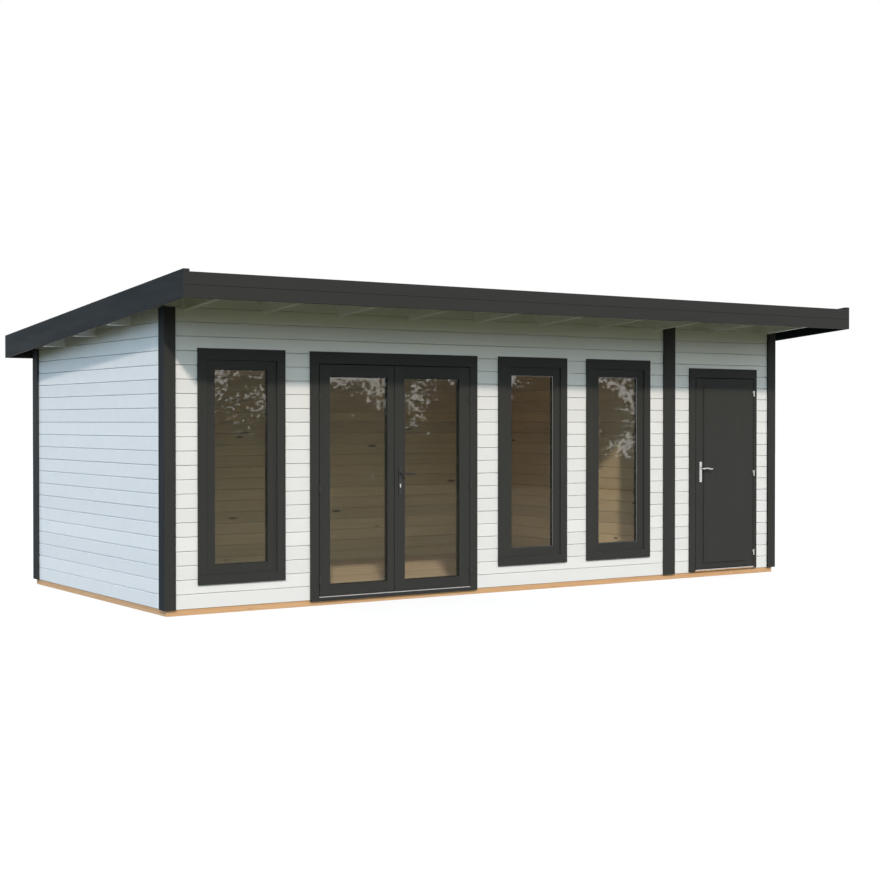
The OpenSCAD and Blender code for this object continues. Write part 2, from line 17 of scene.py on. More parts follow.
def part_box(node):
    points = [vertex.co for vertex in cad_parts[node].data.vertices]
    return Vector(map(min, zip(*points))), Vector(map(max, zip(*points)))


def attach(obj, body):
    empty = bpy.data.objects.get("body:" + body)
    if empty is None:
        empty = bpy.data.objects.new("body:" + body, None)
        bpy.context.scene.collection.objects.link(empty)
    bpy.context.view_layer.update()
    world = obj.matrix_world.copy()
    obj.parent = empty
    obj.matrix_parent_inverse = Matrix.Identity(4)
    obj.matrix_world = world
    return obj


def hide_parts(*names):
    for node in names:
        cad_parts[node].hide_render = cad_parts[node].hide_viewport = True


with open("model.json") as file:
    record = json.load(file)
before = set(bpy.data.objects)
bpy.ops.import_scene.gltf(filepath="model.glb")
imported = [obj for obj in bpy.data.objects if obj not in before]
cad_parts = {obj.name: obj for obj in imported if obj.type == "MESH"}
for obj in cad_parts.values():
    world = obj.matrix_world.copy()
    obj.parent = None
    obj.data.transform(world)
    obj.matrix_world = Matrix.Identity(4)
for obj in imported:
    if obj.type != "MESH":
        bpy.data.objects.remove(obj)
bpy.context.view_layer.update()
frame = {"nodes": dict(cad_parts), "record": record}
MM = 0.001
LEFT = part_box("left_wall")[0].x
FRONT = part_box("front_wall_left")[0].y
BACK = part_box("back_wall")[1].y
BASE_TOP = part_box("back_wall")[0].z

# %% [markdown]
# ## Camera
# The camera stands in front of the left corner at eye height, 12 m from it, with a lens a little
# longer than normal, so upright lines stay almost upright. It comes first, so that every later
# step can be looked at.

# %% Camera
camera = bpy.data.objects.new("camera", bpy.data.cameras.new("camera"))
bpy.context.scene.collection.objects.link(camera)
camera.location = (-8.3417, -12.5848, 1.5422)
camera.rotation_euler = (math.radians(90 - 0.685), 0, math.radians(-33.711))
camera.data.sensor_width = 36
camera.data.lens = 63.62
bpy.context.scene.camera = camera

# %% [markdown]
# ## Helpers for materials
# Colours are written as sRGB hex values, the way a paint chart gives them, and one function turns
# them to the linear values that a renderer counts in. Another adds a node with its settings and
# links, so that a material reads from top to bottom.

# %% Colours and nodes
def linear(hex_colour):
    parts = [int(hex_colour[i:i + 2], 16) / 255 for i in (1, 3, 5)]
    return tuple(c / 12.92 if c <= 0.04045 else ((c + 0.055) / 1.055) ** 2.4 for c in parts) + (1.0,)


def fill(tree, node, inputs):
    """Fills a node's inputs with links, hex colours and plain values; a node gives its first output."""
    for key, value in inputs.items():
        if isinstance(value, bpy.types.Node):
            value = value.outputs[0]
        if isinstance(value, bpy.types.NodeSocket):
            tree.links.new(value, node.inputs[key])
        else:
            node.inputs[key].default_value = linear(value) if isinstance(value, str) else value


def add(tree, kind, inputs=None, **settings):
    made = tree.nodes.new(kind)
    for name, value in settings.items():
        setattr(made, name, value)
    fill(tree, made, inputs or {})
    return made

# %% Materials
def emptied(holder):
    """The node tree of a material or a world, without the nodes it starts with."""
    holder.use_nodes = True
    holder.node_tree.nodes.clear()
    return holder.node_tree


def new_material(name, **sockets):
    """A material with one Principled shader, whose sockets get these values."""
    material = bpy.data.materials.new(name)
    tree = emptied(material)
    shader = add(tree, "ShaderNodeBsdfPrincipled")
    fill(tree, shader, {key.replace("_", " "): value for key, value in sockets.items()})
    add(tree, "ShaderNodeOutputMaterial", {"Surface": shader})
    place = add(tree, "ShaderNodeTexCoord").outputs["Object"]
    print("material", name)
    return material, tree, shader, place


def dress(tree, shader, height, strength, depth, inputs):
    """Fills the shader's inputs, and gives it a relief as deep as depth, drawn by height."""
    relief = add(tree, "ShaderNodeBump", {"Height": height, "Strength": strength, "Distance": depth})
    fill(tree, shader, {"Normal": relief, **inputs})


# %% [markdown]
# ## Boards have a direction
# Wood looks right only if its grain runs along each board and if no two boards are quite alike.
# A board is told apart from its neighbour by its course: the place across the boards divided by
# their pitch, rounded down, gives each one a number, and a noise of that number its tone. Along
# and across are picked from Object coordinates, so the pattern stays on the wood in every view.

# %% Grain and board numbers
LEVEL = "level boards of a wall: along X and Y, counted by height"
UPRIGHT = "upright boards: along Z"
ACROSS = "boards that run front to back: along Y, counted along X"
LENGTHWISE = "boards that run left to right: along X, counted along Y"
COURSE = 114 * MM  # what one wall board covers
BOARD = 120 * MM  # what one floor or roof board covers
WHOLE = 0.9  # a pitch so wide that a trim counts as one board


def grain_axes(tree, place, direction):
    """Sockets for the place along, across and through the boards, in metres."""
    axis = add(tree, "ShaderNodeSeparateXYZ", {0: place}).outputs
    both = add(tree, "ShaderNodeMath", {0: axis[0], 1: axis[1]}, operation="ADD").outputs[0]
    return {LEVEL: (both, axis[2], axis[1]), UPRIGHT: (axis[2], both, axis[1]),
            ACROSS: (axis[1], axis[0], axis[2]), LENGTHWISE: (axis[0], axis[1], axis[2])}[direction]


def board_tone(tree, across, pitch, start):
    """A random number from 0 to 1 for each board."""
    past_start = add(tree, "ShaderNodeMath", {0: across, 1: start}, operation="SUBTRACT")
    counted = add(tree, "ShaderNodeMath", {0: past_start, 1: pitch}, operation="DIVIDE")
    number = add(tree, "ShaderNodeMath", {0: counted}, operation="FLOOR")
    return add(tree, "ShaderNodeTexWhiteNoise", {"W": number}, noise_dimensions="1D")


def stretched(tree, axes, stretch, tone, spread):
    """A vector that squeezes noise into streaks along the grain, at another place for each board."""
    a, b, c = [add(tree, "ShaderNodeMath", {0: axis, 1: by}, operation="MULTIPLY")
               for axis, by in zip(axes, stretch)]
    along = add(tree, "ShaderNodeMath", {0: tone, 1: spread, 2: a}, operation="MULTIPLY_ADD")
    return add(tree, "ShaderNodeCombineXYZ", {0: along, 1: b, 2: c})


# %% [markdown]
# ## Painted wood
# Exterior wood paint is brushed on in a coat about a tenth of a millimetre thick. It hides the
# colour of the wood but not its grain, which shows as a fine relief along the board, and it dries
# to a satin finish. Boards take it slightly differently, so each has its own faint tone. The coats
# on the cabin's sides hold painted light: they are a little bluer, for the blue sky light that
# falls on the sides.

# %% Paint
def wood_paint(name, tones, direction, pitch=WHOLE, start=0.0, roughness=(0.5, 0.62), gloss=0.08):
    material, tree, shader, place = new_material(name, IOR=1.5, Specular_IOR_Level=gloss)
    axes = grain_axes(tree, place, direction)
    tone = board_tone(tree, axes[1], pitch, start)
    # softwood rings show every 2 to 4 mm across a board and run for half a metre along it
    rings = add(tree, "ShaderNodeTexNoise", {
        "Vector": stretched(tree, axes, (2.0, 300.0, 300.0), tone, 40.0),
        "Scale": 1.0, "Detail": 3.0, "Roughness": 0.6})
    brush = add(tree, "ShaderNodeTexNoise", {
        "Vector": stretched(tree, axes, (1.2, 9.0, 9.0), tone, 40.0),
        "Scale": 1.0, "Detail": 4.0, "Roughness": 0.55})
    blend = add(tree, "ShaderNodeMapRange", {
        "Value": add(tree, "ShaderNodeMath", {0: tone, 1: brush}, operation="ADD"),
        "From Min": 0.3, "From Max": 1.5})
    colour = add(tree, "ShaderNodeMix", {0: blend, 6: tones[0], 7: tones[1]}, data_type="RGBA")
    rough = add(tree, "ShaderNodeMapRange", {
        "Value": brush, "From Min": 0.3, "From Max": 0.7, "To Min": roughness[0], "To Max": roughness[1]})
    dress(tree, shader, rings, 0.25, 0.4 * MM, {"Roughness": rough, "Base Color": colour.outputs[2]})
    return material


SATIN = {"roughness": (0.42, 0.58), "gloss": 0.3}
# painted light: the coats for the cabin's sides are bluer than the front's, for the blue sky light falling
# there
SIDE_SKY_TINT = ("#172127", "#151e24")
white_level = wood_paint("white_paint_level", ("#f0f0ee", "#e9e9e8"), LEVEL, COURSE, BASE_TOP, **SATIN)
white_sky_tinted_side = wood_paint("white_paint_sky_tinted_side", ("#f1f4f8", "#eaedf2"), LEVEL, COURSE, BASE_TOP, **SATIN)
white_across = wood_paint("white_paint_across", ("#f0f0ed", "#e9e9e6"), ACROSS, BOARD, LEFT, **SATIN)
dark_upright = wood_paint("dark_paint_upright", ("#3b3b39", "#373735"), UPRIGHT)
dark_level = wood_paint("dark_paint_level", ("#3b3b3a", "#373736"), LEVEL)
dark_sky_tinted_across = wood_paint("dark_paint_sky_tinted_across", SIDE_SKY_TINT, ACROSS)
dark_sky_tinted_side = wood_paint("dark_paint_sky_tinted_side", SIDE_SKY_TINT, UPRIGHT)

# %% [markdown]
# ## Bare softwood
# Planed pine and spruce show pale early wood and darker late wood in turns, brown knots with a
# ring of swirled grain every half metre or so, and a different tone on each board. A Voronoi
# pattern scatters the knots: near each of its points the colour turns to knot brown.

# %% Bare wood
def bare_wood(name, tones, direction, pitch=COURSE, start=BASE_TOP, knots=0.085):
    """tones: early wood, late wood and knot; knots is their size in the Voronoi pattern."""
    material, tree, shader, place = new_material(name, IOR=1.5)
    along, across, through = axes = grain_axes(tree, place, direction)
    tone = board_tone(tree, across, pitch, start)
    # knots are cut lengthwise by the board's face: about 30 mm across it and up to 110 mm along it
    scatter = add(tree, "ShaderNodeTexVoronoi", {
        "Vector": stretched(tree, axes, (1.6, 6.0, 1.5), tone, 60.0),
        "Scale": 1.0, "Randomness": 1.0}, voronoi_dimensions="3D")
    swirl = add(tree, "ShaderNodeMapRange", {
        "Value": scatter, "From Min": knots, "From Max": knots * 3.2, "To Min": 1.0, "To Max": 0.0},
        interpolation_type="SMOOTHSTEP")
    bent = add(tree, "ShaderNodeMath", {0: swirl, 1: 0.02, 2: across}, operation="MULTIPLY_ADD")
    rings = add(tree, "ShaderNodeTexNoise", {
        "Vector": stretched(tree, (along, bent, through), (0.9, 75.0, 75.0), tone, 60.0),
        "Scale": 1.0, "Detail": 5.0, "Roughness": 0.62, "Distortion": 0.35})
    late = add(tree, "ShaderNodeMapRange", {"Value": rings, "From Min": 0.36, "From Max": 0.66})
    wood = add(tree, "ShaderNodeMix", {0: late, 6: tones[0], 7: tones[1]}, data_type="RGBA")
    level = add(tree, "ShaderNodeMapRange", {"Value": tone, "To Min": 0.84, "To Max": 1.06})
    toned = add(tree, "ShaderNodeVectorMath", {0: wood.outputs[2], "Scale": level}, operation="SCALE")
    heart = add(tree, "ShaderNodeMapRange", {
        "Value": scatter, "From Min": knots * 0.8, "From Max": knots * 1.15, "To Min": 0.9, "To Max": 0.0})
    colour = add(tree, "ShaderNodeMix", {0: heart, 6: toned, 7: tones[2]}, data_type="RGBA")
    rough = add(tree, "ShaderNodeMapRange", {
        "Value": rings, "From Min": 0.3, "From Max": 0.7, "To Min": 0.62, "To Max": 0.5})
    dress(tree, shader, rings, 0.3, 0.3 * MM, {"Roughness": rough, "Base Color": colour.outputs[2]})
    return material


PINE = ("#dfcbab", "#d5bc96", "#5f4630")
pine_wall = bare_wood("pine_wall_boards", PINE, LEVEL)
# painted light: the partition's pine is paler than the walls', standing in for more light in the room
pine_partition = bare_wood("pine_partition_boards", ("#f8e1c8", "#e9cdad", "#5f4630"), LEVEL)
pine_floor = bare_wood("pine_floor_boards", ("#f6decb", "#e4c6ae", "#6f563e"), LENGTHWISE, BOARD, FRONT)
pine_across = bare_wood("pine_roof_boards", PINE, ACROSS, BOARD, LEFT)
BEAM = ("#dfb68a", "#d09c6b", "#8a5a36")
beam_lengthwise = bare_wood("beam_wood_lengthwise", BEAM, LENGTHWISE, 0.5, FRONT, 0.07)
beam_across = bare_wood("beam_wood_across", BEAM, ACROSS, 0.5, LEFT, 0.07)

# %% [markdown]
# ## Felt, metals, rubber and glass
# Roofing felt is bitumen with slate granules of about 1 mm pressed into it. The storage door's
# fittings are satin stainless steel, those of the double door are powder-coated black, and the
# thresholds are plain extruded aluminium with draw lines along them.

# %% Felt and metals
felt, tree, shader, place = new_material("bitumen_felt", IOR=1.5)
# the granules are drawn at 2.5 mm so that they show
grit = add(tree, "ShaderNodeTexVoronoi", {"Vector": place, "Scale": 400.0})
grains = add(tree, "ShaderNodeSeparateColor", {0: grit.outputs["Color"]})
cloudy = add(tree, "ShaderNodeTexNoise", {"Vector": place, "Scale": 1.7, "Detail": 6.0})
slate = add(tree, "ShaderNodeMath", {0: grains, 1: cloudy}, operation="MULTIPLY")
colour = add(tree, "ShaderNodeMix", {0: slate, 6: "#232425", 7: "#5a5b5c"}, data_type="RGBA")
rough = add(tree, "ShaderNodeMapRange", {"Value": grains, "To Min": 0.75, "To Max": 0.95})
dress(tree, shader, grit, 0.6, 1 * MM, {"Roughness": rough, "Base Color": colour.outputs[2]})


def metal(name, colour, roughness, metallic, stretch, depth, **sockets):
    """A metal or coated metal, with fine marks squeezed by stretch along its working direction."""
    material, tree, shader, place = new_material(name, Metallic=metallic, Base_Color=colour, **sockets)
    squeezed = add(tree, "ShaderNodeMapping", {"Vector": place, "Scale": stretch})
    marks = add(tree, "ShaderNodeTexNoise", {"Vector": squeezed, "Scale": 1.0, "Detail": 3.0})
    rough = add(tree, "ShaderNodeMapRange", {
        "Value": marks, "From Min": 0.25, "From Max": 0.75, "To Min": roughness[0], "To Max": roughness[1]})
    dress(tree, shader, marks, 0.15, depth, {"Roughness": rough})
    return material


satin_steel = metal("satin_stainless_steel", "#cfcfcd", (0.22, 0.36), 1.0, (60, 60, 900), 0.05 * MM)
black_coat = metal("black_powder_coat", "#222323", (0.4, 0.52), 0.0, (900, 900, 900), 0.1 * MM)
aluminium = metal("extruded_aluminium", "#d8d9da", (0.25, 0.42), 1.0, (8, 900, 900), 0.05 * MM)
nickel = metal("nickel_plated_brass", "#d6d3cb", (0.12, 0.24), 1.0, (400, 400, 400), 0.02 * MM)
rubber = metal("black_rubber_seal", "#101010", (0.7, 0.85), 0.0, (300, 300, 300), 0.1 * MM,
               Specular_IOR_Level=0.2)

# %% [markdown]
# Double glazing lets the sun into the room. A renderer finds sunlight behind real glass only by
# luck, so the glass mirrors and bends what the camera sees but lets lamp rays straight through.

# %% Glass
glass, tree, shader, place = new_material(
    "clear_glass", Base_Color="#f3f4ef", Roughness=0.0, IOR=1.45, Transmission_Weight=1.0)
surface = shader.outputs[0].links[0].to_node
clear = add(tree, "ShaderNodeBsdfTransparent", {"Color": "#f9faf7"})
rays = add(tree, "ShaderNodeLightPath").outputs
lamp_ray = add(tree, "ShaderNodeMath", {
    0: rays["Is Shadow Ray"], 1: rays["Is Diffuse Ray"]}, operation="MAXIMUM")
fill(tree, surface, {"Surface": add(tree, "ShaderNodeMixShader", {0: lamp_ray, 1: shader, 2: clear})})

# %% [markdown]
# ## Reading the CAD
# Some CAD nodes hold several like pieces, such as three window casings. This finds the box of
# each, from left to right and from low to high, and everything later is placed from such boxes.

# %% Boxes of separate solids
def merged(node_name):
    """A CAD node's mesh as a closed bmesh: its loose triangles joined and its flat faces whole."""
    bm = bmesh.new()
    bm.from_mesh(frame["nodes"][node_name].data)
    bmesh.ops.remove_doubles(bm, verts=bm.verts, dist=1e-5)
    bmesh.ops.dissolve_limit(bm, angle_limit=math.radians(0.3), verts=bm.verts, edges=bm.edges)
    return bm


def solids(node_name):
    bm = merged(node_name)
    boxes, seen = [], set()
    for start in bm.verts:
        if start.index in seen:
            continue
        todo, island = [start], []
        seen.add(start.index)
        while todo:
            vert = todo.pop()
            island.append(vert.co.copy())
            for edge in vert.link_edges:
                other = edge.other_vert(vert)
                if other.index not in seen:
                    seen.add(other.index)
                    todo.append(other)
        boxes.append(tuple(Vector([end(co[i] for co in island) for i in range(3)]) for end in (min, max)))
    bm.free()
    return sorted(boxes, key=lambda b: (round(b[0].x, 4), round(b[0].y, 4), round(b[0].z, 4)))


# %% [markdown]
# ## Making and finishing a piece
# Every piece ends the same way: its modifiers become a plain mesh, it gets its materials, it is
# hung on an empty named for the body it rides on, and the CAD nodes it stands for are hidden.

# %% Pieces
def to_object(bm, name, materials):
    mesh = bpy.data.meshes.new(name)
    bm.to_mesh(mesh)
    bm.free()
    made = bpy.data.objects.new(name, mesh)
    bpy.context.scene.collection.objects.link(made)
    for material in materials:
        mesh.materials.append(material)
    return made


def apply_modifiers(made):
    bpy.context.view_layer.update()
    graph = bpy.context.evaluated_depsgraph_get()
    mesh = bpy.data.meshes.new_from_object(made.evaluated_get(graph))
    made.modifiers.clear()
    made.data = mesh
    return made


def joined(parts):
    if len(parts) > 1:
        with bpy.context.temp_override(active_object=parts[0], selected_editable_objects=parts):
            bpy.ops.object.join()
    return parts[0]


def hand_over(made, body, slot, *nodes):
    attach(made, body)
    if nodes:
        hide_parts(*nodes)
    print(made.name, len(made.data.polygons), "faces")

# %% Edges and second coats
def ease(made, width, segments=2):
    """Rounds the sharp edges, as a plane or sandpaper does before painting."""
    rounding = made.modifiers.new("eased edges", "BEVEL")
    rounding.width = width
    rounding.segments = segments
    rounding.limit_method = "ANGLE"
    rounding.angle_limit = math.radians(30)
    return apply_modifiers(made)


def eased_copy(node, name, materials, width=2 * MM):
    return ease(to_object(merged(node), name, materials), width)


def wear(made, is_second):
    """Gives each face the first material, or the second one where is_second says so."""
    for face in made.data.polygons:
        face.material_index = 1 if is_second(face) else 0
    return made

# %% Boards and skins
def add_board(bm, low, high, material_index=0):
    corners = [bm.verts.new((x, y, z)) for x in (low[0], high[0]) for y in (low[1], high[1])
               for z in (low[2], high[2])]
    for quad in ((0, 1, 3, 2), (4, 6, 7, 5), (0, 4, 5, 1), (2, 3, 7, 6), (0, 2, 6, 4), (1, 5, 7, 3)):
        face = bm.faces.new([corners[i] for i in quad])
        face.material_index = material_index


def skin(bm, rings, smooth=False, material_index=0):
    """Closes like rings of vertices into a solid: sides all round and two flat ends."""
    count = len(rings[0])
    for low, high in zip(rings, rings[1:]):
        for i in range(count):
            j = (i + 1) % count
            side = bm.faces.new((low[i], low[j], high[j], high[i]))
            side.smooth, side.material_index = smooth, material_index
    for end in (rings[0][::-1], rings[-1]):
        bm.faces.new(end).material_index = material_index


def facing_out(bm):
    """The same mesh with every face turned outwards."""
    bmesh.ops.recalc_face_normals(bm, faces=bm.faces)
    return bm


def pull_out(bm, outline, x0, x1):
    """A bar along X whose outline is given in Y and Z."""
    skin(bm, [[bm.verts.new((x, y, z)) for y, z in outline] for x in (x0, x1)])


# %% [markdown]
# ## Joints between boards
# Wall, floor and roof boards meet in a V: each board's edges are chamfered, and a dark line shows
# between them. The joints repeat at the boards' pitch, so Geometry Nodes lay a row of bars with
# a diamond section, and the row is cut out of a copy of the CAD slab.

# %% Trees with named inputs
def growing(name, **kinds):
    """An empty Geometry Nodes tree with these inputs, and the sockets that bring them."""
    tree = bpy.data.node_groups.new(name, "GeometryNodeTree")
    for socket, kind in kinds.items():
        tree.interface.new_socket(name=socket, in_out="INPUT", socket_type="NodeSocket" + kind)
    tree.interface.new_socket(name="Geometry", in_out="OUTPUT", socket_type="NodeSocketGeometry")
    return tree, add(tree, "NodeGroupInput").outputs

# %% A row of V bars
JOINT_BARS, given = growing(
    "joint bars", Count="Int", Pitch="Float", Length="Float", Width="Float", Depth="Float")
row = add(JOINT_BARS, "GeometryNodeMeshLine", {
    "Count": given["Count"], "Offset": add(JOINT_BARS, "ShaderNodeCombineXYZ", {"Z": given["Pitch"]})})
bar = add(JOINT_BARS, "GeometryNodeMeshCylinder", {"Vertices": 4, "Radius": 1.0, "Depth": 1.0})
laid = add(JOINT_BARS, "GeometryNodeTransform", {"Geometry": bar, "Rotation": (0, math.pi / 2, 0)})
half_width = add(JOINT_BARS, "ShaderNodeMath", {0: given["Width"], 1: 0.5}, operation="MULTIPLY")
section = add(JOINT_BARS, "ShaderNodeCombineXYZ", {
    "X": given["Length"], "Y": given["Depth"], "Z": half_width})
sized = add(JOINT_BARS, "GeometryNodeTransform", {"Geometry": laid, "Scale": section})
placed = add(JOINT_BARS, "GeometryNodeInstanceOnPoints", {"Points": row, "Instance": sized})
add(JOINT_BARS, "NodeGroupOutput", {0: add(JOINT_BARS, "GeometryNodeRealizeInstances", {0: placed})})

# %% Cutting the joints
def grown(name, tree, **values):
    """The plain mesh that a Geometry Nodes tree makes with these inputs."""
    made = bpy.data.objects.new(name, bpy.data.meshes.new(name))
    bpy.context.scene.collection.objects.link(made)
    nodes = made.modifiers.new("nodes", "NODES")
    nodes.node_group = tree
    for item in tree.interface.items_tree:
        if item.in_out == "INPUT":
            nodes[item.identifier] = values[item.name]
    return apply_modifiers(made)


def cut_joints(made, rows):
    """Cuts rows of V joints. A row: count, pitch, length, width, depth and the matrix that lays it."""
    for count, pitch, length, width, depth, lay in rows:
        bars = grown("bars", JOINT_BARS, Count=count, Pitch=pitch, Length=length, Width=width, Depth=depth)
        bars.data.transform(lay)
        cut = made.modifiers.new("joints", "BOOLEAN")
        cut.operation, cut.solver, cut.object = "DIFFERENCE", "MANIFOLD", bars
        apply_modifiers(made)
        bpy.data.objects.remove(bars)
    return made


# %% [markdown]
# ## Walls
# The walls are stacks of 44 mm boards, and their joints line up all round the cabin. Two chamfers
# meet in a V, with a narrow gap at its bottom that holds the shade. Faces on the room's side keep
# bare pine, and the others are white.

# %% Wall boards
# width and depth of the V, then of its gap
OUTER_JOINT = ((10 * MM, 6 * MM), (4.4 * MM, 20 * MM))
INNER_JOINT = ((8 * MM, 5 * MM), (5 * MM, 16 * MM))


def wall_boards(name, nodes, axis, outside, slot="white_paint", bare=pine_wall):
    """Boards of a wall whose thickness lies along axis (0 = X, 1 = Y); outside is -1, +1 or 0."""
    parts = []
    for node in nodes:
        low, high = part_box(node)
        middle = (low + high) / 2
        turn = Matrix() if axis else Matrix.Rotation(math.pi / 2, 4, "Z")
        rows = []
        for side, way in ((low[axis], -1), (high[axis], 1)):
            spot = (middle.x, side) if axis else (side, middle.y)
            lay = Matrix.Translation((*spot, BASE_TOP + COURSE)) @ turn
            for width, depth in OUTER_JOINT if way == outside else INNER_JOINT:
                rows.append((int((high.z - BASE_TOP) / COURSE), COURSE, 1.2 * (high - low)[1 - axis],
                             width, depth, lay))
        # the side walls' outer faces wear the bluer white: painted sky light
        made = to_object(merged(node), name, [white_level if axis else white_sky_tinted_side, bare])
        parts.append(wear(cut_joints(made, rows), lambda face: (
            outside == 0 or (face.center[axis] - middle[axis]) * outside < -1 * MM)))
    hand_over(joined(parts), "cabin", slot, *nodes)


wall_boards("front_wall_boards", ["front_wall_left", "front_wall_over_main_door", "front_wall_middle",
                                  "front_wall_over_storage_door", "front_wall_right"], 1, -1)
wall_boards("back_wall_boards", ["back_wall"], 1, 1)
wall_boards("left_wall_boards", ["left_wall"], 0, -1)
wall_boards("right_wall_boards", ["right_wall"], 0, 1)
wall_boards("partition_boards", ["partition_wall"], 0, 0, "pine", pine_partition)

# %% [markdown]
# ## Floor
# Floor boards run the length of the cabin over the joists, with fine V joints between them.

# %% Floor boards
PAST = 8.0  # a bar this long passes both ends of anything on the cabin
low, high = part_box("floor_boards")
lay = Matrix.Translation((0, low.y, high.z)) @ Matrix.Rotation(-math.pi / 2, 4, "X")
made = to_object(merged("floor_boards"), "planed_floor_boards", [pine_floor])
cut_joints(made, [(int((high.y - low.y) / BOARD), BOARD, PAST, 4 * MM, 3 * MM,
                   Matrix.Translation((0, BOARD, 0)) @ lay)])
hand_over(made, "cabin", "pine", "floor_boards")

# %% [markdown]
# ## Base beams
# Impregnated beams carry the walls. Each side is made of two lengths that butt together. The
# joists keep their CAD shape.

# %% Beams and joists
LONG_BUTT = LEFT + 3.98
SIDE_BUTT = FRONT + 1.62
bm = bmesh.new()
for low, high in solids("base_beams_long"):
    add_board(bm, low, (LONG_BUTT, high.y, high.z))
    add_board(bm, (LONG_BUTT, low.y, low.z), high)
for low, high in solids("base_beams_side"):
    add_board(bm, low, (high.x, SIDE_BUTT, high.z), 1)
    add_board(bm, (low.x, SIDE_BUTT, low.z), high, 1)
beams = ease(to_object(bm, "base_beams", [beam_lengthwise, beam_across]), 2.5 * MM)
hand_over(beams, "cabin", "impregnated", "base_beams_long", "base_beams_side")
for held in frame["nodes"]["floor_joists"].material_slots:
    held.material = beam_across

# %% [markdown]
# ## Roof timbers and roof boards
# Purlins run through the side walls and carry the roof boards, and short rafters carry the
# canopy. Outside the walls they are painted with the walls; in the rooms they stay bare. The
# boards' V joints run down the slope.

# %% Timbers
WALL_MID = 22 * MM
ROOM = (LEFT + WALL_MID, -LEFT - WALL_MID, FRONT + WALL_MID, BACK - WALL_MID)


def split_at_walls(made):
    """Cuts the mesh at the middle of the walls, and gives what is in the rooms the bare wood."""
    bm = bmesh.new()
    bm.from_mesh(made.data)
    x, y = Vector((1, 0, 0)), Vector((0, 1, 0))
    for place, normal in zip(ROOM, (x, x, y, y)):
        bmesh.ops.bisect_plane(bm, geom=bm.verts[:] + bm.edges[:] + bm.faces[:],
                               plane_co=place * normal, plane_no=normal)
    for face in bm.faces:
        middle = face.calc_center_median()
        inside = ROOM[0] < middle.x < ROOM[1] and ROOM[2] < middle.y < ROOM[3]
        face.material_index = int(inside)
    bm.to_mesh(made.data)
    bm.free()
    return made


purlins = eased_copy("purlins", "planed_purlins", [white_level, pine_wall], 3 * MM)
hand_over(split_at_walls(purlins), "cabin", "pine", "purlins")
rafters = eased_copy("canopy_rafters", "planed_rafters", [white_across, pine_across], 3 * MM)
hand_over(split_at_walls(rafters), "cabin", "white_paint", "canopy_rafters")

# %% Roof boards
deck_low, deck_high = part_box("roof_deck")
DECK_T = 19 * MM
DECK_RUN = deck_high.y - deck_low.y
SLOPE = math.atan2(deck_high.z - DECK_T - deck_low.z, DECK_RUN)
# turns the bars so that they run front to back and repeat from left to right
FRONT_TO_BACK = Matrix(((0, 0, 1, 0), (1, 0, 0, 0), (0, 1, 0, 0), (0, 0, 0, 1)))
lay = (Matrix.Translation((LEFT + BOARD, deck_low.y, deck_high.z - DECK_T)) @ Matrix.Rotation(-SLOPE, 4, "X")
       @ Matrix.Translation((-2 * BOARD, DECK_RUN / 2, 0)) @ FRONT_TO_BACK)
deck = to_object(merged("roof_deck"), "roof_boards", [white_across, pine_across])
cut_joints(deck, [(int((deck_high.x - deck_low.x) / BOARD), BOARD, 1.05 * DECK_RUN, 5 * MM, 4 * MM, lay)])
hand_over(split_at_walls(deck), "cabin", "pine", "roof_deck")
print("roof slope in degrees", round(math.degrees(SLOPE), 2))

# %% [markdown]
# ## Roofing felt
# The felt comes in rolls about a metre wide. They are laid from the low edge up, each strip over
# the one below by 10 cm, so that rain runs over every lap. One profile per strip, drawn along the
# slope and pulled out to the roof's width, gives the small step at each lap.

# %% Felt strips
felt_low, felt_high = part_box("roof_covering")
ROLL, LAP, SHEET = 1.0, 0.1, 2.8 * MM
RISE = 0.03  # over this length a strip climbs onto the one below


def felt_height(y):
    return deck_high.z - (y - deck_low.y) * math.tan(SLOPE) + 0.1 * MM


bm = bmesh.new()
back_edge, on_lap = felt_high.y, 0.0
while back_edge > felt_low.y + LAP:
    front_edge = max(back_edge - ROLL, felt_low.y)
    lap_front = back_edge - LAP
    outline = [(front_edge, 0), (lap_front - RISE, 0), (lap_front, on_lap), (back_edge, on_lap)]
    lower = [(y, felt_height(y) + up) for y, up in outline]
    upper = [(y, z + SHEET) for y, z in reversed(lower)]
    pull_out(bm, lower + upper, felt_low.x, felt_high.x)
    back_edge, on_lap = front_edge + (LAP if front_edge > felt_low.y else 0), SHEET
hand_over(to_object(facing_out(bm), "felt_strips", [felt]), "cabin", "felt", "roof_covering")

# %% [markdown]
# ## Dark trims of the roof
# The fascia is two boards, one over the other, so a joint runs along its middle. Barge boards and
# caps close the roof's sides. All are planed boards with eased edges, so their copies of the CAD
# only need a small bevel. The barge boards and caps wear the bluer side coat, which is painted
# sky light, and only their front ends and undersides have the front's coat.

# %% Fascias, barge boards and caps
for side, end in (("front", 0), ("back", 1)):
    node = side + "_fascia"
    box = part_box(node)
    made = eased_copy(node, node + "_boards", [dark_level])
    lay = Matrix.Translation((0, box[end].y, (box[0].z + box[1].z) / 2))
    hand_over(cut_joints(made, [(1, 1, PAST, 4 * MM, 3 * MM, lay)]), "cabin", "dark_paint", node)
for node, name in (("left_barge_board", "left_barge"), ("right_barge_board", "right_barge"),
                   ("verge_caps", "verge_cap_boards")):
    made = eased_copy(node, name, [dark_sky_tinted_across, dark_level])
    wear(made, lambda face: min(face.normal.y, face.normal.z) < -0.5)
    hand_over(made, "cabin", "dark_paint", node)

# %% [markdown]
# ## Corner trims
# Two boards meet at every corner. The front one covers the side one's edge, which leaves an
# upright joint on the side, drawn by one V bar at each corner.

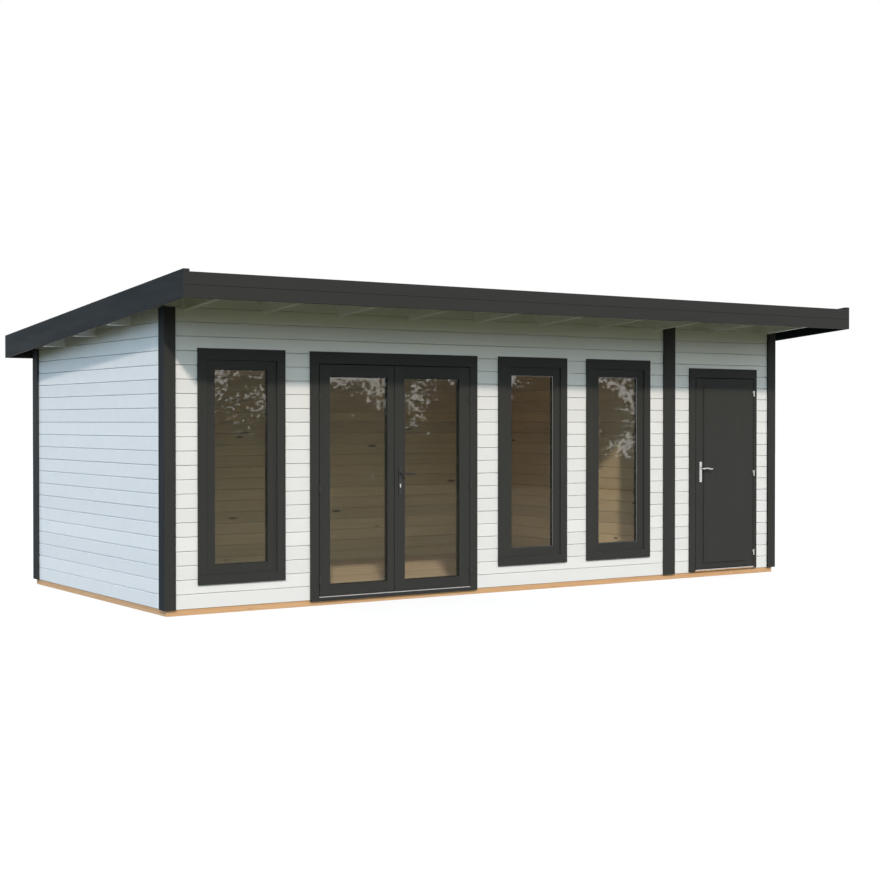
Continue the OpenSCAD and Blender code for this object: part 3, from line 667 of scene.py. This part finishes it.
# %% Corners and the partition's trims
UPRIGHT_BAR = Matrix(((0, 1, 0, 0), (0, 0, 1, 0), (1, 0, 0, 0), (0, 0, 0, 1)))
rows = []
for low, high in solids("corner_trims"):
    spot = (low.x if low.x < 0 else high.x, FRONT if low.y < 0 else BACK, 1.2)
    rows.append((1, 1, 5.0, 2.5 * MM, 2.5 * MM, Matrix.Translation(spot) @ UPRIGHT_BAR))
# faces turned left or right wear the bluer side coat: painted sky light
made = cut_joints(eased_copy("corner_trims", "corner_boards", [dark_upright, dark_sky_tinted_side], 2.5 * MM), rows)
hand_over(wear(made, lambda face: abs(face.normal.x) > 0.5), "cabin", "dark_paint", "corner_trims")
made = eased_copy("partition_trims", "partition_end_boards", [dark_upright], 2.5 * MM)
hand_over(made, "cabin", "dark_paint", "partition_trims")

# %% [markdown]
# ## Frames made of boards
# Casings, sashes and door leaves are all frames: uprights and level boards round an opening. Real
# ones are joined from separate boards, whose eased edges leave a fine line at each joint and
# whose grain turns with them. So each is built from boards, and the CAD gives the sizes. Door
# frames have no foot: they stand on the sill. The double door's sill is painted with its frame,
# and the storage door's is bare wood like the beams.

# %% Board frames
DARK = [dark_upright, dark_level]
BITE = 10 * MM  # how far a pane reaches into its frame on each side
STOP_W = 15 * MM


def flat(box):
    return (box[0].x, box[1].x, box[0].z, box[1].z)


def shrunk(opening, by):
    x0, x1, z0, z1 = opening
    return (x0 + by, x1 - by, z0 + by, z1 - by)


def frame_boards(bm, outer, inner, y0, y1, over):
    """Boards between two outlines, each (x0, x1, z0, z1); over: the level ones cap the uprights."""
    x0, x1, z0, z1 = outer
    i0, i1, j0, j1 = inner
    bottom, top = (j0, j1) if over else (z0, z1)
    start, end = (x0, x1) if over else (i0, i1)
    add_board(bm, (x0, y0, bottom), (i0, y1, top))
    add_board(bm, (i1, y0, bottom), (x1, y1, top))
    add_board(bm, (start, y0, j1), (end, y1, z1), 1)
    if j0 > z0:
        add_board(bm, (start, y0, z0), (end, y1, j0), 1)


def board_frames(node, name, openings, width, over=True):
    """Board frames round openings, for a node's solids; one whose z0 is None stands without a foot."""
    bm = bmesh.new()
    for ring, (x0, x1, z0, z1) in zip(solids(node), openings):
        inner = (x0, x1, ring[0].z if z0 is None else z0, z1)
        frame_boards(bm, flat(ring), inner, ring[0].y, ring[1].y, over)
    hand_over(ease(to_object(bm, name, DARK), width), "cabin", "dark_paint", node)


# %% Window frames, door frames and sills
sash_boxes = solids("window_sashes")
window_openings = [flat(box) for box in sash_boxes]
window_lights = [shrunk(flat(box), BITE) for box in solids("window_panes")]
board_frames("window_casings", "window_casing_boards", window_openings, 2 * MM)
board_frames("window_jambs", "window_jamb_boards", window_openings, 0.5 * MM)
board_frames("window_inner_casings", "window_inner_casing_boards", window_openings, 2 * MM)
board_frames("window_sashes", "window_sash_boards", window_lights, 1.5 * MM, over=False)

sills = solids("main_door_sill") + solids("storage_door_sill")
doorways = [(sill[0].x, sill[1].x, None, stop[1].z) for sill, stop in zip(sills, solids("door_stops"))]
inside_stops = [(x0 + STOP_W, x1 - STOP_W, None, top - STOP_W) for x0, x1, _, top in doorways]
board_frames("door_casings", "door_casing_boards", doorways, 2 * MM)
board_frames("door_jambs", "door_jamb_boards", doorways, 0.5 * MM)
board_frames("door_inner_casings", "door_inner_casing_boards", doorways, 2 * MM)
board_frames("door_stops", "door_stop_boards", inside_stops, 2 * MM)
for node, material, slot in (("main_door_sill", dark_level, "dark_paint"),
                             ("storage_door_sill", beam_across, "impregnated")):
    hand_over(eased_copy(node, node + "_board", [material]), "cabin", slot, node)

# %% [markdown]
# ## Door leaves
# Stiles run the full height and the rails sit between them, as a joiner builds a door. A lever's
# spindle passes through two of the leaves; its hole is hidden under the plates.

# %% Leaves
lights = {}
for leaf, pane in (("left_leaf", "left_leaf_pane"), ("right_leaf", "right_leaf_pane"),
                   ("storage_leaf", "storage_leaf_panel")):
    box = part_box(leaf)
    lights[leaf] = shrunk(flat(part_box(pane)), BITE)
    bm = bmesh.new()
    frame_boards(bm, flat(box), lights[leaf], box[0].y, box[1].y, over=False)
    hand_over(ease(to_object(bm, leaf + "_boards", DARK), 1.5 * MM), leaf, "dark_paint", leaf)
    print(leaf, "opening", [round(v, 3) for v in lights[leaf]])

# %% [markdown]
# The storage leaf has one flat panel instead of glass. Its tongue is held in a groove all round,
# and its field stands a little in front of the stiles, so fine shadow lines show beside it.

# %% Storage panel
low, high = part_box("storage_leaf_panel")
x0, x1, z0, z1 = lights["storage_leaf"]
tongue_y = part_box("storage_leaf")[0].y + 8 * MM
bm = bmesh.new()
add_board(bm, (low.x, tongue_y, low.z), high)
add_board(bm, (x0, low.y, z0), (x1, tongue_y, z1))
made = ease(to_object(facing_out(bm), "storage_panel", [dark_upright]), 1 * MM)
hand_over(made, "storage_leaf", "dark_paint", "storage_leaf_panel")

# %% [markdown]
# ## Double glazing
# A sealed unit is two sheets of 4 mm glass with a black bar between them round the edge, and
# black rubber beads hold it from inside; their black also stands in for the shade in the sash's
# inner reveal. A rubber seal covers its edge in front, and on the two windows between the doors a
# bright strip of aluminium stands before the seal, as a painted highlight of the sash's sunlit
# inner edge. These look like fine lines.

# %% Glazing
GLASS_T, BAR_W = 4 * MM, 11 * MM
SEAL_T, SEAL_W = 4.4 * MM, 1.5 * MM
STRIP_FRONT = 7 * MM  # the aluminium strips stand this far in front of the glass


def ring_of_boards(bm, opening, width, y0, y1):
    frame_boards(bm, opening, shrunk(opening, width), y0, y1, over=False)


def glazed(name, pane_node, openings, frame_back, body, bare=()):
    """Sheets, bars and strips of sealed units; bare lists the openings with aluminium strips, a painted
    highlight.
    """
    bead_w = 2 * MM if bare else 5 * MM
    sheets, bars, strips = bmesh.new(), bmesh.new(), bmesh.new()
    for i, ((low, high), opening) in enumerate(zip(solids(pane_node), openings)):
        for y in (low.y, high.y - GLASS_T):
            add_board(sheets, (low.x, y, low.z), (high.x, y + GLASS_T, high.z))
        edge, gap = shrunk(opening, 0.5 * MM - BITE), GLASS_T + 0.2 * MM
        ring_of_boards(bars, edge, BAR_W, low.y + gap, high.y - gap)
        ring_of_boards(bars, opening, bead_w, high.y, frame_back - 1 * MM)
        ring_of_boards(bars, opening, SEAL_W, low.y - SEAL_T, low.y)
        if i in bare:
            ring_of_boards(strips, opening, SEAL_W, low.y - STRIP_FRONT, low.y - SEAL_T)
    hand_over(to_object(sheets, name + "_glass", [glass]), body, "glass", pane_node)
    hand_over(ease(to_object(bars, name + "_bars_and_beads", [rubber]), 0.6 * MM, 1), body, "black_steel")
    if bare:
        made = ease(to_object(strips, name + "_highlight_strips", [aluminium]), 0.6 * MM, 1)
        hand_over(made, body, "aluminium")


glazed("window", "window_panes", window_lights, sash_boxes[0][1].y, "cabin", bare=(1, 2))
for leaf in ("left_leaf", "right_leaf"):
    glazed(leaf, leaf + "_pane", [lights[leaf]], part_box(leaf)[1].y, leaf)

# %% [markdown]
# ## Thresholds
# An aluminium profile covers each sill. Its ribs give grip, and its front lip turns down over the
# wood. The section is drawn once and pulled out to each door's width.

# %% Threshold profiles
LIP_T, RIBS, GROOVE_DEPTH = 4 * MM, 6, 1 * MM
bm = bmesh.new()
for (low, high), sill in zip(solids("threshold_strips"), sills):
    top, base = high.z, sill[1].z
    section = [(low.y, low.z), (low.y + LIP_T, low.z), (low.y + LIP_T, base), (high.y, base), (high.y, top)]
    for i in range(RIBS):
        y = high.y - 4 * MM - i * ((high.y - low.y - 10 * MM) / RIBS)
        floor_z = top - GROOVE_DEPTH
        section += [(y, top), (y - 0.5 * MM, floor_z), (y - 2 * MM, floor_z), (y - 2.5 * MM, top)]
    section += [(low.y + 1.5 * MM, top), (low.y, top - 1.5 * MM)]
    pull_out(bm, section, low.x, high.x)
made = to_object(facing_out(bm), "threshold_profiles", [aluminium])
hand_over(made, "cabin", "aluminium", "threshold_strips")

# %% [markdown]
# ## Hinges
# These are drill-in hinges: two barrels on one pin, each with a short root that enters the wood,
# so that little but an upright barrel shows. The lower half sits on the casing and holds the pin,
# and the upper half sits on the leaf. Barrels are turned with a rounded end.

# %% Turned parts
def turned(bm, centre, axis, profile, sides=24, material_index=0):
    """A solid of revolution. profile lists (radius, distance along axis); its ends are closed."""
    turn = Vector((0, 0, 1)).rotation_difference(Vector(axis)).to_matrix()
    angles = [2 * math.pi * i / sides for i in range(sides)]
    rings = [[bm.verts.new(Vector(centre) + turn @ Vector((radius * math.cos(a), radius * math.sin(a), up)))
              for a in angles] for radius, up in profile]
    skin(bm, rings, True, material_index)


# %% Hinge halves
BARREL_R, BARREL_H, PIN_R = 7 * MM, 29 * MM, 3.5 * MM
joints = {j["name"]: j["pos_m"] for j in frame["record"]["behaviour"]["joints"]}
hinge_lines = [joints[leaf + "_hinge"][0] for leaf in lights]


def hinge_halves(node, body, slot, coat):
    bm = bmesh.new()
    for low, high in solids(node):
        x = min(hinge_lines, key=lambda v: abs(v - (low.x + high.x) / 2))
        y, tall = low.y + BARREL_R, high.z - low.z
        if body == "cabin":
            # a full barrel, and the pin that stands in it
            turned(bm, (x, y, low.z), (0, 0, 1), [
                (BARREL_R * 0.55, 0), (BARREL_R * 0.9, 1 * MM), (BARREL_R, 2.5 * MM),
                (BARREL_R, BARREL_H - 0.5 * MM), (BARREL_R * 0.93, BARREL_H)])
            reach = tall - 20 * MM
            turned(bm, (x, y, low.z + 20 * MM), (0, 0, 1), [
                (PIN_R, 0), (PIN_R, reach - 1 * MM), (PIN_R * 0.7, reach)], 16)
        else:
            # an open tube round the pin, closed at its top
            rim = PIN_R + 0.4 * MM
            turned(bm, (x, y, low.z), (0, 0, 1), [
                (rim, tall - 3 * MM), (rim, 0), (BARREL_R * 0.93, 0), (BARREL_R, 0.6 * MM),
                (BARREL_R, tall - 2.5 * MM), (BARREL_R * 0.9, tall - 1 * MM), (BARREL_R * 0.55, tall)])
        # the neck beside the barrel and the root behind it
        side, foot = (1, high.x) if high.x - x > x - low.x else (-1, low.x)
        neck = (x + side * 2 * MM, x + side * (BARREL_R - 0.5 * MM))
        for ends, y0, y1 in ((neck, y, high.y - 1 * MM),
                             ((x + side * 4.5 * MM, foot), high.y - 2.5 * MM, high.y)):
            add_board(bm, (min(ends), y0, low.z + 0.8 * MM), (max(ends), y1, low.z + BARREL_H - 1.2 * MM))
    hand_over(ease(to_object(bm, node[:-1] + "_halves", [coat]), 0.5 * MM, 1), body, slot, node)


hinge_halves("main_frame_hinges", "cabin", "black_steel", black_coat)
hinge_halves("left_leaf_hinges", "left_leaf", "black_steel", black_coat)
hinge_halves("right_leaf_hinges", "right_leaf", "black_steel", black_coat)
hinge_halves("storage_frame_hinges", "cabin", "silver", satin_steel)
hinge_halves("storage_leaf_hinges", "storage_leaf", "silver", satin_steel)

# %% [markdown]
# ## Handles
# A long plate with rounded ends covers the lock on both faces of a leaf. Under the lever it has
# the shaped cylinder of the lock, which takes the key, and a screw at each end. The lever leaves
# its neck square to the leaf, turns along it and runs out in a gentle wave.

# %% Outlines and lifts
def rounded_outline(x, z0, z1, width):
    dots, r, sides = [], 4 * MM, 5
    for quarter, (side, z) in enumerate(((1, z1 - r), (-1, z1 - r), (-1, z0 + r), (1, z0 + r))):
        for i in range(sides + 1):
            angle = math.pi / 2 * (quarter + i / sides)
            dots.append((x + side * (width / 2 - r) + r * math.cos(angle), z + r * math.sin(angle)))
    return dots


def lifted(bm, dots, y0, y1, inset, material_index=0):
    """Pulls an outline in X and Z out along Y; inset slopes its last part inwards."""
    middle = Vector((sum(x for x, z in dots), sum(z for x, z in dots))) / len(dots)
    outward = 1 if y1 > y0 else -1
    levels = [(y0, 0.0), (y1 - outward * inset, 0.0), (y1, inset)] if inset else [(y0, 0.0), (y1, 0.0)]
    rings = []
    for y, move in levels:
        ring = []
        for dot in dots:
            out = Vector(dot) - middle
            spot = middle + out * (1 - move / max(out.length, 1e-6))
            ring.append(bm.verts.new((spot.x, y, spot.y)))
        rings.append(ring)
    skin(bm, rings, False, material_index)

# %% The key cylinder
def key_cylinder(bm, x, z, y0, y1):
    """The profile cylinder of a lock: a round barrel of 17 mm over a 10 mm tail, 33 mm tall."""
    outward = 1 if y1 > y0 else -1
    round_r, tail_r = 8.5 * MM, 5 * MM
    turns = [math.radians(-55 + 290 * i / 16) for i in range(17)]
    foot = [math.pi * i / 8 for i in range(9)]
    dots = [(x + round_r * math.cos(a), z + round_r * math.sin(a)) for a in turns]
    dots += [(x - tail_r, z - 10 * MM)]
    dots += [(x - tail_r * math.cos(a), z - 20 * MM - tail_r * math.sin(a)) for a in foot]
    dots += [(x + tail_r, z - 10 * MM)]
    lifted(bm, dots, y0, y1, 0.5 * MM, 1)
    turned(bm, (x, y1, z), (0, outward, 0),
           [(7 * MM, -0.3 * MM), (7 * MM, 0.5 * MM), (6.4 * MM, 0.8 * MM)], 24, 1)
    slot = [(x + i * MM, z + k * MM) for i, k in ((-1, -4.5), (1, -4.5), (1, 4.5), (-1, 4.5))]
    lifted(bm, slot, y1, y1 + outward * 0.96 * MM, 0, 2)

# %% Plates
def handle_plates(name, node, body, slot, coat, lever, key_down):
    bm = bmesh.new()
    for (low, high), outward in zip(sorted(solids(node), key=lambda box: box[0].y), (-1, 1)):
        root, face = (high.y, low.y) if outward < 0 else (low.y, high.y)
        x, rim_y, facing = (low.x + high.x) / 2, face - outward * 0.8 * MM, (0, outward, 0)
        dots = rounded_outline(x, low.z, high.z, high.x - low.x - 0.2 * MM)
        lifted(bm, dots, root, rim_y, 1.5 * MM)
        turned(bm, (lever[0], rim_y, lever[2]), facing,
               [(11 * MM, -1 * MM), (11 * MM, 0.4 * MM), (10.2 * MM, 0.8 * MM)], 32)
        key_cylinder(bm, lever[0], lever[2] - key_down, rim_y - outward * 1 * MM, rim_y + outward * 0.3 * MM)
        for z in (low.z + 9 * MM, high.z - 9 * MM):
            # a screw whose recess is sunk below its rim
            r = 3.2 * MM
            turned(bm, (x, rim_y, z), facing, [(r, -0.4 * MM), (r, 0.2 * MM), (r * 0.75, 0.55 * MM),
                                               (r * 0.4, 0.6 * MM), (r * 0.34, -0.3 * MM)], 12)
    hand_over(to_object(facing_out(bm), name, [coat, nickel, rubber]), body, slot, node)


handle_plates("main_lock_plates", "main_handle_plates", "right_leaf", "black_steel", black_coat,
              joints["main_lever_turn"], 92 * MM)
handle_plates("storage_lock_plates", "storage_handle_plates", "storage_leaf", "silver", satin_steel,
              joints["storage_lever_turn"], 78 * MM)

# %% A bent tube
TUBE_SIDES = 20


def tube(bm, path, radii, squeeze):
    """A tube along points, with a radius at each; squeeze flattens it in Y where it runs along X."""
    rings = []
    for i, spot in enumerate(path):
        ahead = Vector(path[min(i + 1, len(path) - 1)]) - Vector(path[max(i - 1, 0)])
        along = ahead.normalized()
        across = along.cross(Vector((0, 0, 1))).normalized()
        up = across.cross(along).normalized()
        wide = radii[i] * (squeeze if abs(along.x) > 0.7 else 1.0)
        rings.append([bm.verts.new(Vector(spot) + across * wide * math.cos(a) + up * radii[i] * math.sin(a))
                      for a in (2 * math.pi * k / TUBE_SIDES for k in range(TUBE_SIDES))])
    skin(bm, rings, True)

# %% Levers
GRIP_IN = 8 * MM  # from the grip's middle to the outer limit of the lever
BEND = 14 * MM  # radius of the bend between neck and grip
COLLAR_R, NECK_R, GRIP_R, TIP_R, SPINDLE_R = 7.2 * MM, 6.5 * MM, 7.4 * MM, 4.6 * MM, 4.6 * MM


def lever_pair(node, slot, coat, wave):
    low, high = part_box(node)
    x, _, z = joints[node + "_turn"]
    leaf_front, leaf_back = [corner.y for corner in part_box("right_leaf")]
    bm = bmesh.new()
    for outward, face, limit in ((-1, leaf_front, low.y), (1, leaf_back, high.y)):
        grip = limit - outward * GRIP_IN
        path = [(x, face + outward * d * MM, z) for d in (2, 6, 10)]
        path += [(x + BEND * (1 - math.cos(t)), grip - outward * BEND * (1 - math.sin(t)), z)
                 for t in (math.pi / 2 * k / 6 for k in range(7))]
        radii = [COLLAR_R, COLLAR_R, NECK_R] + [NECK_R + (GRIP_R - NECK_R) * k / 6 for k in range(7)]
        for k in range(1, 15):
            t = k / 14
            lift = wave * math.sin(2 * math.pi * (0.06 + 0.84 * t)) * min(1.0, 3 * t)
            path.append((x + BEND + (high.x - x - BEND - 1 * MM) * t, grip, z + lift))
            radii.append(GRIP_R - 2 * MM * abs(t - 0.25) ** 1.4 if k < 14 else TIP_R)
        tube(bm, path, radii, 0.8)
    # the square spindle that joins the two grips
    turned(bm, (x, leaf_front - 1 * MM, z), (0, 1, 0),
           [(SPINDLE_R, 0), (SPINDLE_R, leaf_back - leaf_front + 2 * MM)], 4)
    made = to_object(facing_out(bm), node + "_handles", [coat])
    rounding = made.modifiers.new("rounder", "SUBSURF")
    rounding.levels = rounding.render_levels = 1
    hand_over(apply_modifiers(made), node, slot, node)


lever_pair("main_lever", "black_steel", black_coat, 0.0)
lever_pair("storage_lever", "silver", satin_steel, 5 * MM)

# %% [markdown]
# ## Screws of the trims
# The trims are screwed to the wall in pairs up their height. Screws repeat along a line, so
# Geometry Nodes make them: a disc whose top is inset and sunk for the driver, put on every point
# of a line.

# %% A row of screws
SCREWS, given = growing("screw row", Count="Int", Start="Vector", Step="Vector", Turn="Vector",
                        Radius="Float", Thickness="Float", Sink="Float", Material="Material")
line = add(SCREWS, "GeometryNodeMeshLine", {
    "Count": given["Count"], "Start Location": given["Start"], "Offset": given["Step"]})
disc = add(SCREWS, "GeometryNodeMeshCylinder", {
    "Vertices": 12, "Radius": given["Radius"], "Depth": given["Thickness"]})
rim = add(SCREWS, "GeometryNodeExtrudeMesh", {
    "Mesh": disc, "Selection": disc.outputs["Top"], "Offset Scale": 0.0})
driver = add(SCREWS, "GeometryNodeScaleElements", {
    "Geometry": rim, "Selection": rim.outputs["Top"], "Scale": 0.55})
sunk = add(SCREWS, "GeometryNodeExtrudeMesh", {
    "Mesh": driver, "Selection": rim.outputs["Top"], "Offset Scale": given["Sink"]})
placed = add(SCREWS, "GeometryNodeInstanceOnPoints", {
    "Points": line, "Instance": sunk, "Rotation": given["Turn"]})
real = add(SCREWS, "GeometryNodeRealizeInstances", {0: placed})
done = add(SCREWS, "GeometryNodeSetMaterial", {"Geometry": real, "Material": given["Material"]})
add(SCREWS, "NodeGroupOutput", {0: done})

# %% Places of the screws
FACING_FRONT, FACING_BACK = (math.pi / 2, 0, 0), (-math.pi / 2, 0, 0)
FACING_LEFT, FACING_RIGHT = (0, -math.pi / 2, 0), (0, math.pi / 2, 0)
LOWEST, HIGHEST = 0.12, 2.15  # the first screw's height over the trim's foot, and the last one's
# how far a corner's screws sit from the low and the high end of its boards, along X on the front
# and back and along Y on the sides, where they clear the thickness of the front or back board
LEFT_INSETS, RIGHT_INSETS = (30 * MM, 22 * MM), (22 * MM, 30 * MM)
FRONT_INSETS, BACK_INSETS = (75 * MM, 14 * MM), (20 * MM, 60 * MM)
parts = []


def screw_row(x, y, z0, z1, facing, count):
    step = Vector((0, 0, z1 - z0)) / (count - 1)
    parts.append(grown("trim_screws", SCREWS, Count=count, Start=Vector((x, y, z0)), Step=step,
                       Turn=Vector(facing), Radius=4.5 * MM, Thickness=1.2 * MM, Sink=-0.9 * MM,
                       Material=dark_level))


for low, high in solids("corner_trims"):
    left, front = low.x < 0, low.y < 0
    z0, z1 = low.z + LOWEST, min(high.z - 0.25, HIGHEST)
    inset = LEFT_INSETS if left else RIGHT_INSETS
    for x in (low.x + inset[0], high.x - inset[1]):
        screw_row(x, low.y if front else high.y, z0, z1, FACING_FRONT if front else FACING_BACK, 5)
    inset = FRONT_INSETS if front else BACK_INSETS
    for y in (low.y + inset[0], high.y - inset[1]):
        screw_row(low.x if left else high.x, y, z0, z1, FACING_LEFT if left else FACING_RIGHT, 5)
for low, high in solids("partition_trims"):
    y, facing = (low.y, FACING_FRONT) if low.y < 0 else (high.y, FACING_BACK)
    for x in (low.x + 25 * MM, high.x - 25 * MM):
        screw_row(x, y, low.z + LOWEST, HIGHEST, facing, 5)
for node, foot in (("window_casings", 40 * MM), ("door_casings", 90 * MM)):
    for low, high in solids(node):
        for x in (low.x + 22 * MM, high.x - 22 * MM):
            screw_row(x, low.y, low.z + foot, high.z - 46 * MM, FACING_FRONT, 6)
hand_over(joined(parts), "cabin", "dark_paint")

# %% [markdown]
# ## Light and floor
# A lamp far away, as small in the sky as the sun looks through thin haze, gives the canopy's
# shadow its soft edge. The world is plain soft sky for the light that falls on the cabin and
# white for what the eye sees behind it. The floor is pale to the eye, and sends back the muted
# light of lawn and gravel to the underside of the canopy.

# %% Sun
scene = bpy.context.scene
scene.view_settings.view_transform = "Standard"
sun = bpy.data.objects.new("sun", bpy.data.lights.new("sun", "SUN"))
scene.collection.objects.link(sun)
sun.rotation_euler = Vector((1, 1.74, -1.31)).to_track_quat("-Z", "Y").to_euler()
sun.data.energy = 2.2
sun.data.color = linear("#fff0e3")[:3]
sun.data.angle = math.radians(3)

# %% Sky
def backdrop(tree, lighting, look):
    """Lights with the first shader, and looks like the second to the eye, in mirrors and in glass."""
    rays = add(tree, "ShaderNodeLightPath").outputs
    seen = add(tree, "ShaderNodeMath", {
        0: rays["Is Camera Ray"], 1: rays["Is Glossy Ray"]}, operation="MAXIMUM")
    seen = add(tree, "ShaderNodeMath", {0: seen, 1: rays["Is Transmission Ray"]}, operation="MAXIMUM")
    return add(tree, "ShaderNodeMixShader", {0: seen, 1: lighting, 2: look})


world = scene.world = bpy.data.worlds.new("studio sky")
tree = emptied(world)
direction = add(tree, "ShaderNodeSeparateXYZ", {
    0: add(tree, "ShaderNodeTexCoord").outputs["Generated"]}).outputs
sky_colour = "#eef9fb"
# each: an axis, where on it the next colour starts and is full, and that colour: bluer to the
# left, darker overhead, and dimmed by the trees round the plot in the lowest ten degrees
for axis, start, full, colour in ((0, 0.1, -0.7, "#cde9ff"), (2, 0.25, 0.85, "#7b8897"),
                                  (2, 0.16, 0.02, "#6c6c50")):
    share = add(tree, "ShaderNodeMapRange", {"Value": direction[axis], "From Min": start, "From Max": full})
    mixed = add(tree, "ShaderNodeMix", {0: share, 6: sky_colour, 7: colour}, data_type="RGBA")
    sky_colour = mixed.outputs[2]
sky = add(tree, "ShaderNodeBackground", {"Color": sky_colour, "Strength": 1.8})
white = add(tree, "ShaderNodeBackground", {"Color": "#ffffff", "Strength": 1.0})
add(tree, "ShaderNodeOutputWorld", {0: backdrop(tree, sky, white)})

# %% Floor
bpy.ops.mesh.primitive_circle_add(vertices=64, radius=60, fill_type="NGON", location=(0, 0, 0))
floor = bpy.context.object
floor.name = "pale_floor"
floor.data.materials.append(bpy.data.materials.new("pale_floor"))
tree = emptied(floor.data.materials[0])
lawn = add(tree, "ShaderNodeBsdfDiffuse", {"Color": "#444527"})
pale = add(tree, "ShaderNodeBsdfDiffuse", {"Color": "#8c8c8c"})
glow = add(tree, "ShaderNodeEmission", {"Color": "#ffffff", "Strength": 0.78})
bright = add(tree, "ShaderNodeAddShader", {0: pale, 1: glow})
add(tree, "ShaderNodeOutputMaterial", {"Surface": backdrop(tree, lawn, bright)})

# %% [markdown]
# ## Cloths for the reflections
# Glass mirrors what stands in front of it. In a bare white studio it would look milky, so dark
# cloths hang where only the glass sees them. These show a garden: lawn below, a hedge, and sky
# between leaves higher up. Only perfectly sharp mirror rays stop at them, so metals
# and paint keep the white studio.

# %% Cloths round the garden
HEDGE_AT, HEDGE_TOP, CORNERS = 25.0, 16.0, 64
bm = bmesh.new()
foot, head = [[bm.verts.new((HEDGE_AT * math.cos(a), HEDGE_AT * math.sin(a), z))
               for a in (2 * math.pi * i / CORNERS for i in range(CORNERS))] for z in (0.02, HEDGE_TOP)]
bm.faces.new(foot)
for i in range(CORNERS):
    j = (i + 1) % CORNERS
    bm.faces.new((foot[i], head[i], head[j], foot[j]))

# %% Garden on the cloths
# where sky shows between the leaves: place along X, height, width and height of the patch, and
# how thin the leaves are there
THIN_PLACES = ((8.7, 2.2, 2.2, 1.3, 0.42), (10.8, 2.8, 1.1, 0.8, 0.65), (11.5, 2.2, 0.5, 0.9, 0.42),
               (12.2, 2.3, 0.6, 1.4, 0.45), (12.9, 2.8, 0.6, 0.5, 0.35), (14.3, 2.65, 0.5, 0.8, 0.5),
               (16.0, 2.5, 0.9, 1.2, 0.3), (16.6, 1.8, 0.45, 1.5, 0.36), (16.3, 0.95, 0.6, 0.45, 0.5))
garden = bpy.data.materials.new("garden_cloth")
tree = emptied(garden)
place = add(tree, "ShaderNodeTexCoord").outputs["Object"]
height = add(tree, "ShaderNodeSeparateXYZ", {0: place}).outputs[2]


def soft_spot(x, z, wide, tall):
    """1 in the middle of an upright oval on the cloths, 0 from its rim outwards."""
    near = add(tree, "ShaderNodeMapping", {
        "Vector": place, "Location": (-x / wide, 0, -z / tall), "Scale": (1 / wide, 0, 1 / tall)})
    return add(tree, "ShaderNodeTexGradient", {"Vector": near}, gradient_type="SPHERICAL").outputs["Fac"]


# gaps between leaves are a few centimetres, and the leaves hang in clumps of under a metre
leaves = add(tree, "ShaderNodeTexNoise", {"Vector": place, "Scale": 11.0, "Detail": 2.0})
clumps = add(tree, "ShaderNodeTexNoise", {"Vector": place, "Scale": 1.3, "Detail": 2.0})
cover = add(tree, "ShaderNodeMath", {0: leaves, 1: 1.4, 2: clumps}, operation="MULTIPLY_ADD")
open_sky = add(tree, "ShaderNodeMapRange", {
    "Value": height, "From Min": 2.2, "From Max": 9.0, "To Min": -0.3, "To Max": 0.1})
gaps = add(tree, "ShaderNodeMath", {0: cover, 1: open_sky}, operation="ADD")
for x, z, wide, tall, thin in THIN_PLACES:
    gaps = add(tree, "ShaderNodeMath", {
        0: soft_spot(x, z, wide, tall), 1: thin, 2: gaps}, operation="MULTIPLY_ADD")
gaps = add(tree, "ShaderNodeMapRange", {"Value": gaps, "From Min": 1.22, "From Max": 1.36})
green = add(tree, "ShaderNodeMix", {0: leaves, 6: "#7d8880", 7: "#8d9890"}, data_type="RGBA")
distance = add(tree, "ShaderNodeVectorMath", {0: place}, operation="LENGTH").outputs["Value"]
near_lawn = add(tree, "ShaderNodeMapRange", {"Value": distance, "From Min": 24.5, "From Max": 9.0})
green = add(tree, "ShaderNodeMix", {0: near_lawn, 6: green.outputs[2], 7: "#a5a499"}, data_type="RGBA")
# one part of the garden lies in shade, and the sky is brighter than a white card
shade = add(tree, "ShaderNodeMapRange", {
    "Value": soft_spot(14.1, 0, 2.6, 30), "To Min": 1.0, "To Max": 0.45})
strength = add(tree, "ShaderNodeMix", {0: gaps, 2: shade, 3: 1.6})
view = add(tree, "ShaderNodeMix", {0: gaps, 6: green.outputs[2], 7: "#ffffff"}, data_type="RGBA")
picture = add(tree, "ShaderNodeEmission", {"Color": view.outputs[2], "Strength": strength})
nothing = add(tree, "ShaderNodeBsdfTransparent")
rays = add(tree, "ShaderNodeLightPath").outputs
mirrored = add(tree, "ShaderNodeMath", {0: rays["Glossy Depth"], 1: 0.5}, operation="GREATER_THAN")
sharp = add(tree, "ShaderNodeMath", {0: mirrored, 1: rays["Is Singular Ray"]}, operation="MULTIPLY")
shown = add(tree, "ShaderNodeMixShader", {0: sharp, 1: nothing, 2: picture})
add(tree, "ShaderNodeOutputMaterial", {"Surface": shown})
cloths = to_object(bm, "garden_cloths", [garden])
cloths.visible_shadow = cloths.visible_diffuse = False
